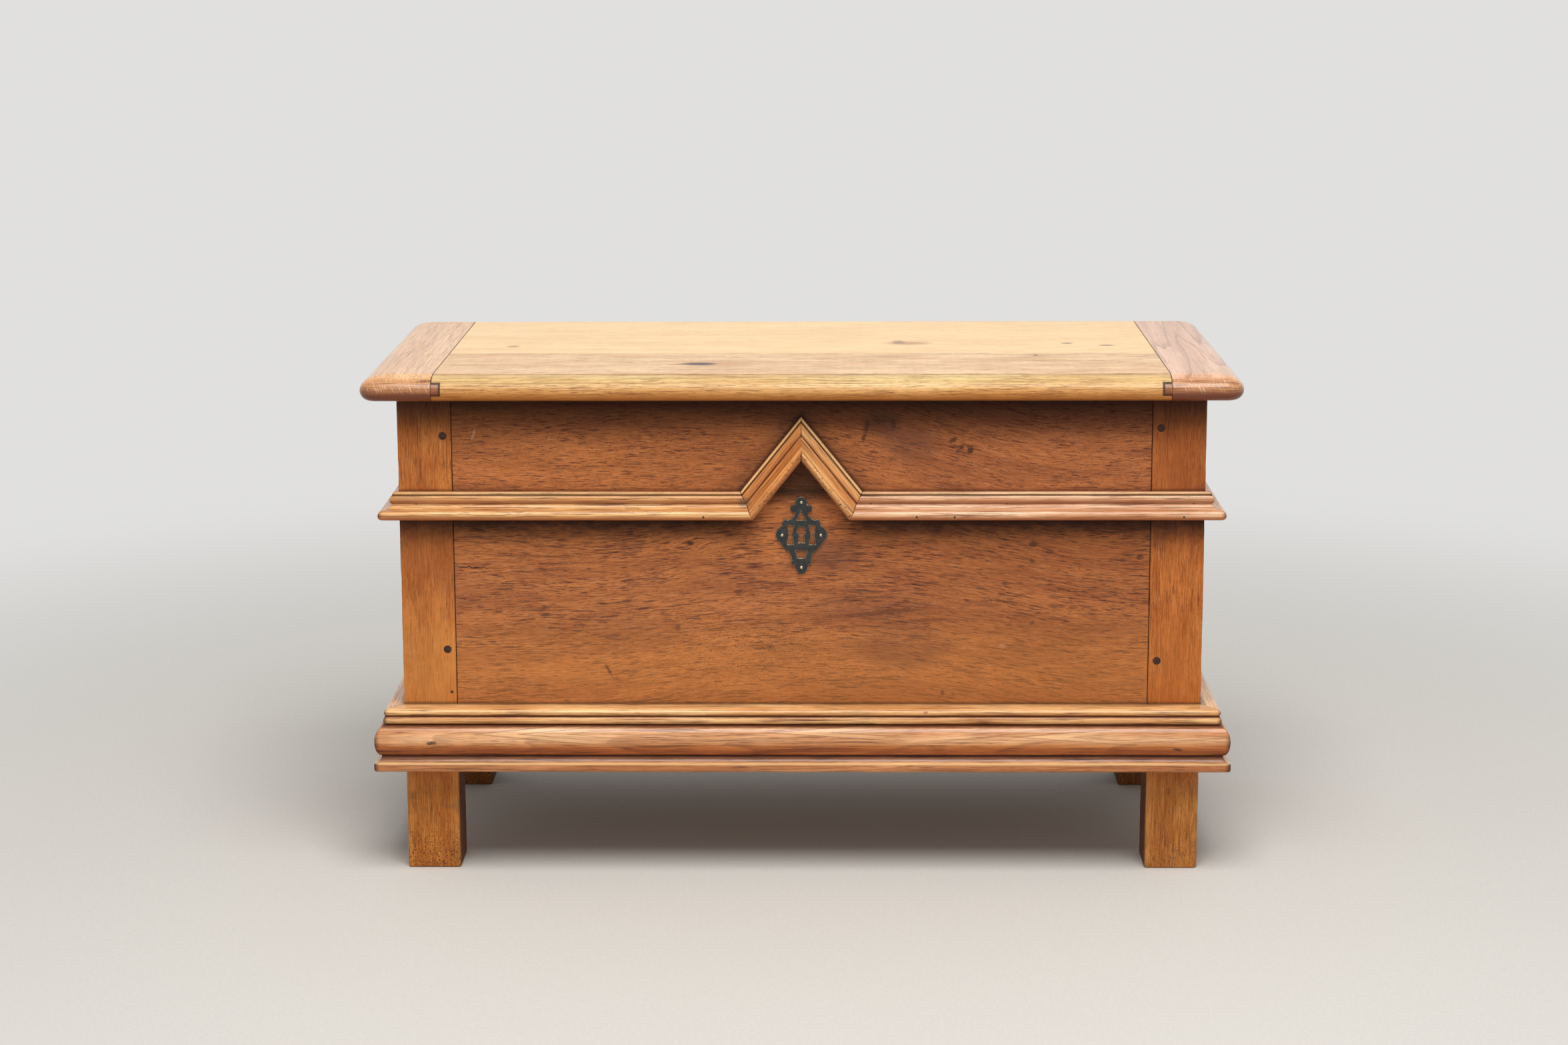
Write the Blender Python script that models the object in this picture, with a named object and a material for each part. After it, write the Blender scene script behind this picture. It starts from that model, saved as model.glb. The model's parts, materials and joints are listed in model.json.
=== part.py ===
"""A joined oak chest: posts and boards with pegged tenons, gabled mouldings and a hinged breadboard lid.

Metres, +Z up, the front faces -Y. The origin is on the floor under the middle of the lid.
"""

import math

import bmesh
import bpy
from mathutils import Matrix, Vector
from mathutils.geometry import intersect_line_plane

# Gap left between pieces that touch
SEAM = 0.0003

# Case
CASE_WIDTH = 1.000
CASE_DEPTH = 0.452
CASE_HEIGHT = 0.6037
POST_WIDTH = 0.067
POST_DEPTH = 0.070
POST_EDGE = 0.0012
LEG_EDGE = 0.0040
LEG_STOP = 0.012
FOOT_CHAMFER = 0.002
BOARD_THICKNESS = 0.024
BOARD_LIFT = 0.006

# Tenons and the pegs through them
TENON_LENGTH = 0.036
TENON_THICKNESS = 0.010
TENON_HEIGHT = 0.075
TENON_SHOULDER = 0.006
TENON_RISE = 0.0995
PEG_RADIUS = 0.0050
PEG_LENGTH = 0.032
PEG_SETBACK = 0.0108
PEG_PROUD = 0.0004
UPPER_PEG_DRIFT = 0.0047
LOWER_PEG_DRIFT = -0.0073

# Chest bottom
BOTTOM_COUNT = 3
BOTTOM_THICKNESS = 0.018
LEDGER_SIZE = 0.024
LEDGER_LIFT = 0.004

# Base moulding, upper strip
BASE_BOTTOM = 0.134
BASE_SLOPE_RUN = 0.0135
BASE_SLOPE_DROP = 0.0014
BASE_ROUND_REACH = 0.0230
BASE_ROUND_HEIGHT = 0.0096
BASE_BEAD_REACH = 0.0240
BASE_BEAD_HEIGHT = 0.0110
BASE_BEAD_DEPTH = 0.0046

# Base moulding, lower strip
TORUS_REACH = 0.0345
TORUS_HEIGHT = 0.0376
TORUS_ROOT = 0.0218
NECK_REACH = 0.0264
COVE_HEIGHT = 0.0094
FOOT_REACH = 0.0352
FOOT_HEIGHT = 0.0110
FOOT_ROUND = 0.0040

# Mid moulding and its gable
MID_BEAD_REACH = 0.0070
MID_BEAD_HEIGHT = 0.0040
MID_OVOLO_REACH = 0.0103
MID_OVOLO_HEIGHT = 0.0102
MID_COVE_HEIGHT = 0.0070
MID_NOSE_REACH = 0.0240
MID_NOSE_HEIGHT = 0.0122
MID_NOSE_DEPTH = 0.0052
MID_QUIRK = 0.0020
GABLE_RISE = 0.0945
GABLE_HALF_WIDTH = 0.0755
GABLE_DROP = 0.0232

# Escutcheon: half its outline from the top lobe down, as (x, height, swell of the edge that leads there)
PLATE_DROP = 0.0562
PLATE_THICKNESS = 0.0016
PLATE_EDGE = (
    (0.0000, 0.0493, 0.0),
    (0.0070, 0.0390, 0.0035),
    (0.0082, 0.0293, 0.0064),
    (0.0170, 0.0200, -0.0024),
    (0.0208, 0.0209, 0.0),
    (0.0240, 0.0125, 0.0012),
    (0.0272, -0.0080, 0.0066),
    (0.0214, -0.0150, 0.0008),
    (0.0202, -0.0176, 0.0),
    (0.0124, -0.0290, -0.0022),
    (0.0132, -0.0364, -0.0010),
    (0.0097, -0.0368, 0.0),
    (0.0088, -0.0386, -0.0004),
    (0.0000, -0.0493, 0.0018),
)
PLATE_TRIANGLE = (
    (0.0000, 0.0313, -0.0006),
    (0.0059, 0.0199, -0.0006),
    (-0.0059, 0.0199, -0.0006),
)
PLATE_KEYHOLE = (
    (-0.0024, 0.0016, -0.0004),
    (0.0024, 0.0016, 0.0098),
    (0.0041, -0.0090, -0.0004),
    (-0.0041, -0.0090, 0.0),
)
PLATE_SLOT = (
    (0.0096, 0.0126, -0.0022),
    (0.0170, 0.0129, 0.0),
    (0.0174, -0.0113, -0.0014),
    (0.0098, -0.0113, 0.0),
)
PLATE_TRAPEZOID = (
    (-0.0072, -0.0189, -0.0005),
    (0.0072, -0.0189, -0.0006),
    (0.0048, -0.0283, -0.0005),
    (-0.0048, -0.0283, 0.0),
)
PLATE_PINS = {
    "top": (0.0, 0.0422),
    "left": (-0.0240, 0.0008),
    "right": (0.0240, 0.0008),
    "bottom": (0.0, -0.0403),
}
PIN_HEAD_RADIUS = 0.0022
PIN_HEAD_RISE = 0.0014
PIN_SHANK_RADIUS = 0.0009
PIN_SHANK_LENGTH = 0.012

# Lid
LID_THICKNESS = 0.031
LID_OVERHANG = 0.042
LID_BACK_OVERHANG = 0.044
LID_END_WIDTH = 0.0895
LID_FRONT_BOARD = 0.204
LID_CORNER = 0.022
LID_INNER_CORNER = 0.001
LID_NOSE_HEIGHT = 0.0125
LID_NOSE_UNDER = 0.012
LID_NOSE_OVER = 0.027
LID_QUIRK = 0.0009
TONGUE_LENGTH = 0.010
TONGUE_THICKNESS = 0.0135

# Hinges
HINGE_INSET = 0.123
KNUCKLE_COUNT = 3
KNUCKLE_WIDTH = 0.013
KNUCKLE_GAP = 0.0005
HINGE_PIN_RADIUS = 0.0025
HINGE_PIN_PROUD = 0.0012
STRAP_THICKNESS = 0.003
STRAP_TAPER = 0.170
STRAP_TIP_WIDTH = 0.018
LEAF_TAPER = 0.036
LEAF_FOOT_WIDTH = 0.056
LEAF_SHOULDER = 0.002
LEAF_LIP = 0.0002
STRAP_SIDE_GAP = 0.0010

# Facets
QUARTER_STEPS = 4
CORNER_STEPS = 5
ARC_STEP = math.radians(24)
PEG_SIDES = 12
PIN_SIDES = 10
HINGE_SIDES = 16
SMOOTH_ANGLE = math.radians(35)

# Finishes: linear colour, roughness and metallic value
FINISHES = {
    "post_oak": ((0.34, 0.125, 0.032), 0.42, 0.0),
    "board_oak": ((0.24, 0.080, 0.024), 0.45, 0.0),
    "moulding_oak": ((0.46, 0.180, 0.052), 0.38, 0.0),
    "base_oak": ((0.37, 0.130, 0.045), 0.38, 0.0),
    "lid_oak": ((0.62, 0.320, 0.090), 0.35, 0.0),
    "lid_end_oak": ((0.38, 0.165, 0.065), 0.38, 0.0),
    "peg_oak": ((0.055, 0.028, 0.015), 0.55, 0.0),
    "inner_oak": ((0.30, 0.155, 0.070), 0.65, 0.0),
    "black_iron": ((0.022, 0.024, 0.025), 0.45, 0.9),
    "pin_brass": ((0.62, 0.55, 0.38), 0.28, 1.0),
}

# Places worked out from the sizes above
LID_WIDTH = CASE_WIDTH + 2 * LID_OVERHANG
LID_DEPTH = LID_OVERHANG + CASE_DEPTH + LID_BACK_OVERHANG
CASE_SIDE = CASE_WIDTH / 2
CASE_FRONT = -LID_DEPTH / 2 + LID_OVERHANG
CASE_BACK = CASE_FRONT + CASE_DEPTH
LID_UNDER = CASE_HEIGHT + SEAM
TORUS_STRIP_HEIGHT = TORUS_HEIGHT + COVE_HEIGHT + FOOT_HEIGHT
BEAD_STRIP_HEIGHT = BASE_SLOPE_DROP + BASE_ROUND_HEIGHT + BASE_BEAD_HEIGHT
BASE_TOP = BASE_BOTTOM + TORUS_STRIP_HEIGHT + SEAM + BEAD_STRIP_HEIGHT
BOARD_BOTTOM = BASE_BOTTOM + BOARD_LIFT
UPPER_TENON = CASE_HEIGHT - TENON_SHOULDER - TENON_HEIGHT / 2
LOWER_TENON = BOARD_BOTTOM + TENON_RISE + TENON_HEIGHT / 2
MID_TOP = CASE_HEIGHT - GABLE_DROP - GABLE_RISE
LEDGER_TOP = BOARD_BOTTOM + LEDGER_LIFT + LEDGER_SIZE
KNUCKLE_RADIUS = HINGE_PIN_RADIUS + SEAM + STRAP_THICKNESS
HINGE_OFFSET = SEAM + LEAF_LIP + KNUCKLE_RADIUS
HINGE_AXIS = Vector((0, CASE_BACK + HINGE_OFFSET, LID_UNDER - HINGE_OFFSET))
KNUCKLE_PITCH = KNUCKLE_WIDTH + KNUCKLE_GAP
HINGE_WIDTH = KNUCKLE_COUNT * KNUCKLE_PITCH - KNUCKLE_GAP
SIDES = {"left": -1, "right": 1}
TENONS = {"upper": (UPPER_TENON, UPPER_PEG_DRIFT), "lower": (LOWER_TENON, LOWER_PEG_DRIFT)}
X_AXIS = Vector((1, 0, 0))
Y_AXIS = Vector((0, 1, 0))
Z_AXIS = Vector((0, 0, 1))

materials = {}


def clear_scene():
    for obj in list(bpy.data.objects):
        bpy.data.objects.remove(obj)


def make_materials():
    for name, (colour, roughness, metallic) in FINISHES.items():
        material = bpy.data.materials.new(name)
        material.use_nodes = True
        shader = material.node_tree.nodes["Principled BSDF"]
        shader.inputs["Base Color"].default_value = (*colour, 1)
        shader.inputs["Roughness"].default_value = roughness
        shader.inputs["Metallic"].default_value = metallic
        materials[name] = material


# Modelling helpers


def add_object(name, data, finish=None):
    obj = bpy.data.objects.new(name, data)
    bpy.context.scene.collection.objects.link(obj)
    if finish:
        data.materials.append(materials[finish])
    return obj


def add_mesh(name, bm, finish=None):
    bmesh.ops.recalc_face_normals(bm, faces=bm.faces)
    mesh = bpy.data.meshes.new(name)
    bm.to_mesh(mesh)
    bm.free()
    mesh.shade_smooth()
    mesh.set_sharp_from_angle(angle=SMOOTH_ANGLE)
    return add_object(name, mesh, finish)


def loft(loops, bm=None):
    """Skin loops of equally many points, with a flat cap at each end."""
    bm = bm or bmesh.new()
    rings = [[bm.verts.new(point) for point in loop] for loop in loops]
    for lower, upper in zip(rings, rings[1:]):
        for i in range(len(lower)):
            bm.faces.new((lower[i - 1], lower[i], upper[i], upper[i - 1]))
    bm.faces.new(rings[0])
    bm.faces.new(rings[-1])
    return bm


def prism(outline, travel, bm=None):
    return loft((outline, [point + travel for point in outline]), bm)


def box(low, high, bm=None):
    low, high = Vector(low), Vector(high)
    corners = ((low.x, low.y), (high.x, low.y), (high.x, high.y), (low.x, high.y))
    outline = [Vector((x, y, low.z)) for x, y in corners]
    return prism(outline, Z_AXIS * (high.z - low.z), bm)


def round_bar(start, travel, radius, sides, bm=None):
    """A bar of regular section, with a flat turned square to the frame."""
    turn = travel.to_track_quat("Z", "Y")
    angles = [2 * math.pi * (i + 0.5) / sides for i in range(sides)]
    outline = [start + turn @ Vector((math.cos(a), math.sin(a), 0)) * radius for a in angles]
    return prism(outline, travel, bm)


def boolean(obj, tool, operation):
    """Join or cut with a tool mesh that stays hidden in the scene."""
    helper = add_mesh(f"{obj.name}_{operation.lower()}_{len(obj.modifiers)}", tool)
    helper.hide_render = True
    helper.display_type = "WIRE"
    modifier = obj.modifiers.new(operation.title(), "BOOLEAN")
    modifier.operation = operation
    modifier.object = helper


def hang_on(axis, obj):
    """Parent a moving piece to the empty on its joint's axis."""
    obj.data.transform(Matrix.Translation(-axis.location))
    for modifier in obj.modifiers:
        modifier.object.data.transform(Matrix.Translation(-axis.location))
        modifier.object.parent = axis
    obj.parent = axis


def profile_points(path):
    """Points of a moulding: straight lines, and quarter rounds that leave level or leave plumb."""
    points = [Vector(path[0][:2])]
    for across, along, how in path[1:]:
        start, step = points[-1], Vector((across, along)) - points[-1]
        if how == "line":
            points.append(start + step)
            continue
        for i in range(1, QUARTER_STEPS + 1):
            turn = math.pi / 2 * i / QUARTER_STEPS
            share = (math.sin(turn), 1 - math.cos(turn))
            if how == "plumb":
                share = share[::-1]
            points.append(start + Vector((step.x * share[0], step.y * share[1])))
    return points


def arc_points(start, end, swell):
    """Points after start on the arc to end that swells by this much to the left of its chord."""
    chord = end - start
    turn = 4 * math.atan(2 * swell / chord.length)
    count = math.ceil(abs(turn) / ARC_STEP)
    if count < 1:
        return [end]
    radius = (chord.length_squared / 4 + swell**2) / (2 * swell)
    left = Vector((-chord.y, chord.x)).normalized()
    centre = (start + end) / 2 - left * (radius - swell)
    return [centre + Matrix.Rotation(-turn * i / count, 2) @ (start - centre) for i in range(1, count + 1)]


def rounded_rectangle(low, high, radius, height):
    """A level loop with round corners, anticlockwise from the low corner."""
    centres = ((high[0], high[1]), (low[0], high[1]), (low[0], low[1]), (high[0], low[1]))
    points = []
    for corner, (x, y) in enumerate(centres):
        x += radius if x == low[0] else -radius
        y += radius if y == low[1] else -radius
        for i in range(CORNER_STEPS + 1):
            turn = math.pi / 2 * (corner + i / CORNER_STEPS)
            points.append(Vector((x + radius * math.cos(turn), y + radius * math.sin(turn), height)))
    return points


# Posts


def make_post(name, side, end):
    """A post with eased edges above, rounder ones on its leg, and mortises for two boards."""
    x_low, x_high = sorted((side * CASE_SIDE, side * (CASE_SIDE - POST_WIDTH)))
    y_outer = CASE_FRONT if end < 0 else CASE_BACK
    y_low, y_high = sorted((y_outer, y_outer - end * POST_DEPTH))
    loops = []
    for rise, edge, inset in (
        (0, LEG_EDGE, FOOT_CHAMFER),
        (FOOT_CHAMFER, LEG_EDGE, 0),
        (BOARD_BOTTOM, LEG_EDGE, 0),
        (BOARD_BOTTOM + LEG_STOP, POST_EDGE, 0),
        (CASE_HEIGHT, POST_EDGE, 0),
    ):
        low, high = (x_low + inset, y_low + inset), (x_high - inset, y_high - inset)
        loops.append(rounded_rectangle(low, high, edge, rise))
    post = add_mesh(name, loft(loops), "post_oak")
    mortises, holes = bmesh.new(), bmesh.new()
    for height, drift in TENONS.values():
        for spot in (long_joint(side, end), short_joint(side, end)):
            low, high = tenon_corners(spot, height, SEAM)
            box(low, high, mortises)
            start, travel = peg_line(spot, height + side * drift, SEAM)
            round_bar(start, travel, PEG_RADIUS + SEAM, PEG_SIDES, holes)
    boolean(post, mortises, "DIFFERENCE")
    boolean(post, holes, "DIFFERENCE")


# Tenon joints: a long joint holds the front or back board in a post, a short one a side board


def long_joint(side, end):
    """Shoulder point of the joint on the outer face, the way the tenon runs, and the way out of the case."""
    face = CASE_FRONT if end < 0 else CASE_BACK
    return Vector((side * (CASE_SIDE - POST_WIDTH), face, 0)), X_AXIS * side, Y_AXIS * end


def short_joint(side, end):
    face = CASE_FRONT if end < 0 else CASE_BACK
    return Vector((side * CASE_SIDE, face - end * POST_DEPTH, 0)), Y_AXIS * end, X_AXIS * side


def tenon_corners(spot, height, slack):
    """Opposite corners of a tenon that reaches back into its board, or of its mortise with some slack."""
    shoulder, into, out = spot
    middle = shoulder - out * BOARD_THICKNESS / 2 + Z_AXIS * height
    root = middle - into * (TENON_THICKNESS if not slack else slack)
    tip = middle + into * (TENON_LENGTH + slack)
    half = out * (TENON_THICKNESS / 2 + slack) + Z_AXIS * (TENON_HEIGHT / 2 + slack)
    ends = (root - half, root + half, tip - half, tip + half)
    return [[pick(point[i] for point in ends) for i in range(3)] for pick in (min, max)]


def peg_line(spot, height, slack):
    """Inner end and travel of a peg, or of its hole where there is slack."""
    shoulder, into, out = spot
    face = shoulder + into * PEG_SETBACK + Z_AXIS * height
    inner = face - out * (PEG_LENGTH + slack)
    reach = PEG_LENGTH + (PEG_PROUD if not slack else PEG_LENGTH)
    return inner, out * reach


def make_board(name, low, high, spots, finish):
    """A board with two tenons at each end, bored for their pegs."""
    board = add_mesh(name, box(low, high), finish)
    tenons, holes = bmesh.new(), bmesh.new()
    for spot, side in spots:
        for height, drift in TENONS.values():
            tenon_low, tenon_high = tenon_corners(spot, height, 0)
            box(tenon_low, tenon_high, tenons)
            start, travel = peg_line(spot, height + side * drift, SEAM)
            round_bar(start, travel, PEG_RADIUS + SEAM, PEG_SIDES, holes)
    boolean(board, tenons, "UNION")
    boolean(board, holes, "DIFFERENCE")
    return board


def make_case():
    span = CASE_SIDE - POST_WIDTH - SEAM
    boards = {}
    for place, end in {"front": -1, "back": 1}.items():
        face = CASE_FRONT if end < 0 else CASE_BACK
        y_low, y_high = sorted((face, face - end * BOARD_THICKNESS))
        spots = [(long_joint(side, end), side) for side in SIDES.values()]
        boards[place] = make_board(
            f"{place}_board", (-span, y_low, BOARD_BOTTOM), (span, y_high, CASE_HEIGHT), spots, "board_oak"
        )
        for hand, side in SIDES.items():
            make_post(f"{place}_{hand}_post", side, end)
            make_pegs(f"{place}_{hand}_peg", long_joint(side, end), side)
            make_pegs(f"{hand}_{place}_peg", short_joint(side, end), side)
    y_low, y_high = CASE_FRONT + POST_DEPTH + SEAM, CASE_BACK - POST_DEPTH - SEAM
    for hand, side in SIDES.items():
        x_low, x_high = sorted((side * CASE_SIDE, side * (CASE_SIDE - BOARD_THICKNESS)))
        spots = [(short_joint(side, end), side) for end in (-1, 1)]
        low, high = (x_low, y_low, BOARD_BOTTOM), (x_high, y_high, CASE_HEIGHT)
        make_board(f"{hand}_side_board", low, high, spots, "board_oak")
    return boards


def make_pegs(name, spot, side):
    """A peg through each tenon, bored by hand a little above or below its middle."""
    for level, (height, drift) in TENONS.items():
        start, travel = peg_line(spot, height + side * drift, 0)
        add_mesh(f"{name}_{level}", round_bar(start, travel, PEG_RADIUS, PEG_SIDES), "peg_oak")


# Chest bottom


def make_bottom():
    """Long boards, notched round the posts, on a ledger along each side."""
    inner_x = CASE_SIDE - BOARD_THICKNESS - SEAM
    post_x = CASE_SIDE - POST_WIDTH - SEAM
    y_low, y_high = CASE_FRONT + BOARD_THICKNESS + SEAM, CASE_BACK - BOARD_THICKNESS - SEAM
    post_low, post_high = CASE_FRONT + POST_DEPTH + SEAM, CASE_BACK - POST_DEPTH - SEAM
    width = (y_high - y_low + SEAM) / BOTTOM_COUNT
    for i in range(BOTTOM_COUNT):
        low = y_low + i * width
        high = low + width - SEAM
        steps = [y for y in (post_low, post_high) if low < y < high]
        levels = sorted((low, high, *steps, *steps))
        right = []
        for first, last in zip(levels[::2], levels[1::2]):
            x = inner_x if post_low <= (first + last) / 2 <= post_high else post_x
            right += [(x, first), (x, last)]
        outline = right + [(-x, y) for x, y in reversed(right)]
        points = [Vector((x, y, LEDGER_TOP + SEAM)) for x, y in outline]
        add_mesh(f"bottom_board_{i + 1}", prism(points, Z_AXIS * BOTTOM_THICKNESS), "inner_oak")
    for hand, side in SIDES.items():
        x_low, x_high = sorted((side * inner_x, side * (inner_x - LEDGER_SIZE)))
        low = (x_low, post_low, LEDGER_TOP - LEDGER_SIZE)
        add_mesh(f"{hand}_ledger", box(low, (x_high, post_high, LEDGER_TOP)), "inner_oak")


# Mouldings


def bead_strip_profile():
    """Sloping top and round, then a bead, of the upper base strip."""
    root = BASE_BEAD_REACH - BASE_BEAD_DEPTH
    round_bottom = BASE_SLOPE_DROP + BASE_ROUND_HEIGHT
    return profile_points(
        (
            (SEAM, 0, "line"),
            (BASE_SLOPE_RUN, BASE_SLOPE_DROP, "line"),
            (BASE_ROUND_REACH, BASE_SLOPE_DROP + BASE_ROUND_HEIGHT / 2, "level"),
            (root, round_bottom, "plumb"),
            (BASE_BEAD_REACH, round_bottom + BASE_BEAD_HEIGHT / 2, "level"),
            (root, BEAD_STRIP_HEIGHT, "plumb"),
            (SEAM, BEAD_STRIP_HEIGHT, "line"),
        )
    )


def torus_strip_profile():
    """Torus, neck, cove and square foot of the lower base strip."""
    cove_bottom = TORUS_HEIGHT + COVE_HEIGHT
    return profile_points(
        (
            (SEAM, 0, "line"),
            (TORUS_ROOT, 0, "line"),
            (TORUS_REACH, TORUS_HEIGHT / 2, "level"),
            (NECK_REACH, TORUS_HEIGHT, "plumb"),
            (FOOT_REACH, cove_bottom, "plumb"),
            (FOOT_REACH, TORUS_STRIP_HEIGHT - FOOT_ROUND, "line"),
            (FOOT_REACH - FOOT_ROUND, TORUS_STRIP_HEIGHT, "plumb"),
            (SEAM, TORUS_STRIP_HEIGHT, "line"),
        )
    )


def mid_profile():
    """Bead, ovolo, cove and nose of the mid moulding."""
    bead_root = MID_BEAD_REACH - MID_QUIRK
    ovolo_root = MID_OVOLO_REACH - 2 * MID_QUIRK
    nose_root = MID_NOSE_REACH - MID_NOSE_DEPTH
    ovolo_bottom = MID_BEAD_HEIGHT + MID_OVOLO_HEIGHT
    cove_bottom = ovolo_bottom + MID_COVE_HEIGHT
    bottom = cove_bottom + MID_NOSE_HEIGHT
    return profile_points(
        (
            (SEAM, 0, "line"),
            (bead_root, 0, "line"),
            (MID_BEAD_REACH, MID_BEAD_HEIGHT / 2, "level"),
            (bead_root, MID_BEAD_HEIGHT, "plumb"),
            (ovolo_root, MID_BEAD_HEIGHT, "line"),
            (MID_OVOLO_REACH, MID_BEAD_HEIGHT + MID_OVOLO_HEIGHT / 2, "level"),
            (MID_OVOLO_REACH - MID_QUIRK, ovolo_bottom, "plumb"),
            (nose_root, cove_bottom, "plumb"),
            (MID_NOSE_REACH, cove_bottom + MID_NOSE_HEIGHT / 2, "level"),
            (nose_root, bottom, "plumb"),
            (SEAM, bottom, "line"),
        )
    )


def moulding_run(name, profile, top_point, frame, start_plane, end_plane, finish):
    """Sweep a profile along a straight line between two mitre planes."""
    along, out, up = frame
    loops = []
    for (point, normal), step in ((start_plane, 1), (end_plane, -1)):
        normal = normal if normal.dot(along) > 0 else -normal
        place = point + normal * step * SEAM / 2
        lines = [top_point + out * reach - up * drop for reach, drop in profile]
        loops.append([intersect_line_plane(line, line + along, place, normal) for line in lines])
    add_mesh(name, loft(loops), finish)


def corner_mitre(side):
    return Vector((side * CASE_SIDE, CASE_FRONT, 0)), Vector((1, side, 0)).normalized()


def make_side_run(name, profile, top, side, finish):
    frame = (Y_AXIS, X_AXIS * side, Z_AXIS)
    back = (Vector((0, CASE_BACK, 0)), Y_AXIS)
    moulding_run(name, profile, Vector((side * CASE_SIDE, 0, top)), frame, corner_mitre(side), back, finish)


def make_base():
    strips = {
        "base_bead": (bead_strip_profile(), BASE_TOP, "moulding_oak"),
        "base_torus": (torus_strip_profile(), BASE_BOTTOM + TORUS_STRIP_HEIGHT, "base_oak"),
    }
    frame = (X_AXIS, -Y_AXIS, Z_AXIS)
    for name, (profile, top, finish) in strips.items():
        line = Vector((0, CASE_FRONT, top))
        moulding_run(f"{name}_front", profile, line, frame, corner_mitre(-1), corner_mitre(1), finish)
        for hand, side in SIDES.items():
            make_side_run(f"{name}_{hand}", profile, top, side, finish)


def make_mid_moulding():
    """Front runs that turn up into a gable, and a return along each side."""
    profile = mid_profile()
    valley_height, apex_height = MID_TOP, MID_TOP + GABLE_RISE
    apex = (Vector((0, CASE_FRONT, apex_height)), X_AXIS)
    for hand, side in SIDES.items():
        valley = Vector((side * GABLE_HALF_WIDTH, CASE_FRONT, valley_height))
        inward = X_AXIS * -side
        climb = (apex[0] - valley).normalized()
        square = Y_AXIS.cross(climb) * side
        mitre = (valley, (inward + climb).normalized())
        frame = (inward, -Y_AXIS, Z_AXIS)
        corner = corner_mitre(side)
        moulding_run(f"mid_moulding_{hand}", profile, valley, frame, corner, mitre, "moulding_oak")
        arm_frame = (climb, -Y_AXIS, square)
        moulding_run(f"gable_{hand}", profile, valley, arm_frame, mitre, apex, "moulding_oak")
        make_side_run(f"mid_moulding_{hand}_side", profile, MID_TOP, side, "moulding_oak")


# Escutcheon


def plate_outline(path):
    """A closed outline; each entry gives a corner and the swell of the edge that leads to it."""
    corners = [Vector(entry[:2]) for entry in path]
    points = []
    for i, entry in enumerate(path):
        points += arc_points(corners[i - 1], corners[i], entry[2])
    return points


def half_outline(path):
    """Half an outline, run from the top down, and its mirror image."""
    corners = [Vector(entry[:2]) for entry in path]
    points = [corners[0]]
    for i in range(1, len(path)):
        points += arc_points(corners[i - 1], corners[i], path[i][2])
    return points + [Vector((-point.x, point.y)) for point in reversed(points[1:-1])]


def ring(centre, radius, sides):
    angles = [2 * math.pi * i / sides for i in range(sides)]
    return [Vector(centre) + radius * Vector((math.cos(a), math.sin(a))) for a in angles]


def make_escutcheon(front_board):
    """A pierced plate on the front board, held by four domed pins."""
    slot = plate_outline(PLATE_SLOT)
    outlines = [half_outline(PLATE_EDGE), slot, [Vector((-point.x, point.y)) for point in slot]]
    outlines += [plate_outline(path) for path in (PLATE_TRIANGLE, PLATE_KEYHOLE, PLATE_TRAPEZOID)]
    outlines += [ring(spot, PIN_SHANK_RADIUS + SEAM, PIN_SIDES) for spot in PLATE_PINS.values()]
    curve = bpy.data.curves.new("escutcheon", "CURVE")
    curve.dimensions = "2D"
    curve.fill_mode = "BOTH"
    curve.extrude = PLATE_THICKNESS / 2
    for outline in outlines:
        spline = curve.splines.new("POLY")
        spline.points.add(len(outline) - 1)
        spline.use_cyclic_u = True
        for point, (x, y) in zip(spline.points, outline):
            point.co = (x, y, 0, 1)
    plate = add_object("escutcheon", curve, "black_iron")
    centre = Vector((0, CASE_FRONT - SEAM - PLATE_THICKNESS / 2, MID_TOP - PLATE_DROP))
    plate.location = centre
    plate.rotation_euler = (math.pi / 2, 0, 0)
    holes = bmesh.new()
    depth = PIN_SHANK_LENGTH + SEAM
    for name, (x, height) in PLATE_PINS.items():
        seat = Vector((x, CASE_FRONT - PLATE_THICKNESS - 2 * SEAM, centre.z + height))
        make_plate_pin(f"escutcheon_pin_{name}", seat)
        inner = Vector((x, CASE_FRONT + depth, seat.z))
        round_bar(inner, -Y_AXIS * 2 * depth, PIN_SHANK_RADIUS + SEAM, PIN_SIDES, holes)
    boolean(front_board, holes, "DIFFERENCE")


def make_plate_pin(name, seat):
    """A turned pin: a shank into the board and a domed head on the plate."""
    shank = PIN_SHANK_LENGTH + PLATE_THICKNESS + SEAM
    profile = [
        (PIN_SHANK_RADIUS / 2, -shank),
        (PIN_SHANK_RADIUS, PIN_SHANK_RADIUS - shank),
        (PIN_SHANK_RADIUS, 0),
    ]
    for i in range(QUARTER_STEPS):
        turn = math.pi / 2 * i / QUARTER_STEPS
        profile.append((PIN_HEAD_RADIUS * math.cos(turn), PIN_HEAD_RISE * math.sin(turn)))
    loops = []
    for radius, rise in profile:
        loops.append([seat + Vector((x, -rise, z)) for x, z in ring((0, 0), radius, PIN_SIDES)])
    add_mesh(name, loft(loops), "pin_brass")


# Lid


def lid_slab():
    """The whole lid as one slab, its thumbnail edge run round all four sides."""
    top = LID_THICKNESS
    edge = profile_points(
        (
            (LID_NOSE_UNDER, 0, "line"),
            (0, LID_NOSE_HEIGHT, "level"),
            (LID_NOSE_OVER, top - LID_QUIRK, "plumb"),
            (LID_NOSE_OVER + LID_QUIRK, top, "line"),
        )
    )
    loops = []
    for inset, rise in edge:
        x, y = LID_WIDTH / 2 - inset, LID_DEPTH / 2 - inset
        corner = max(LID_CORNER - inset, LID_INNER_CORNER)
        loops.append(rounded_rectangle((-x, -y), (x, y), corner, LID_UNDER + rise))
    return loft(loops)


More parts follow.
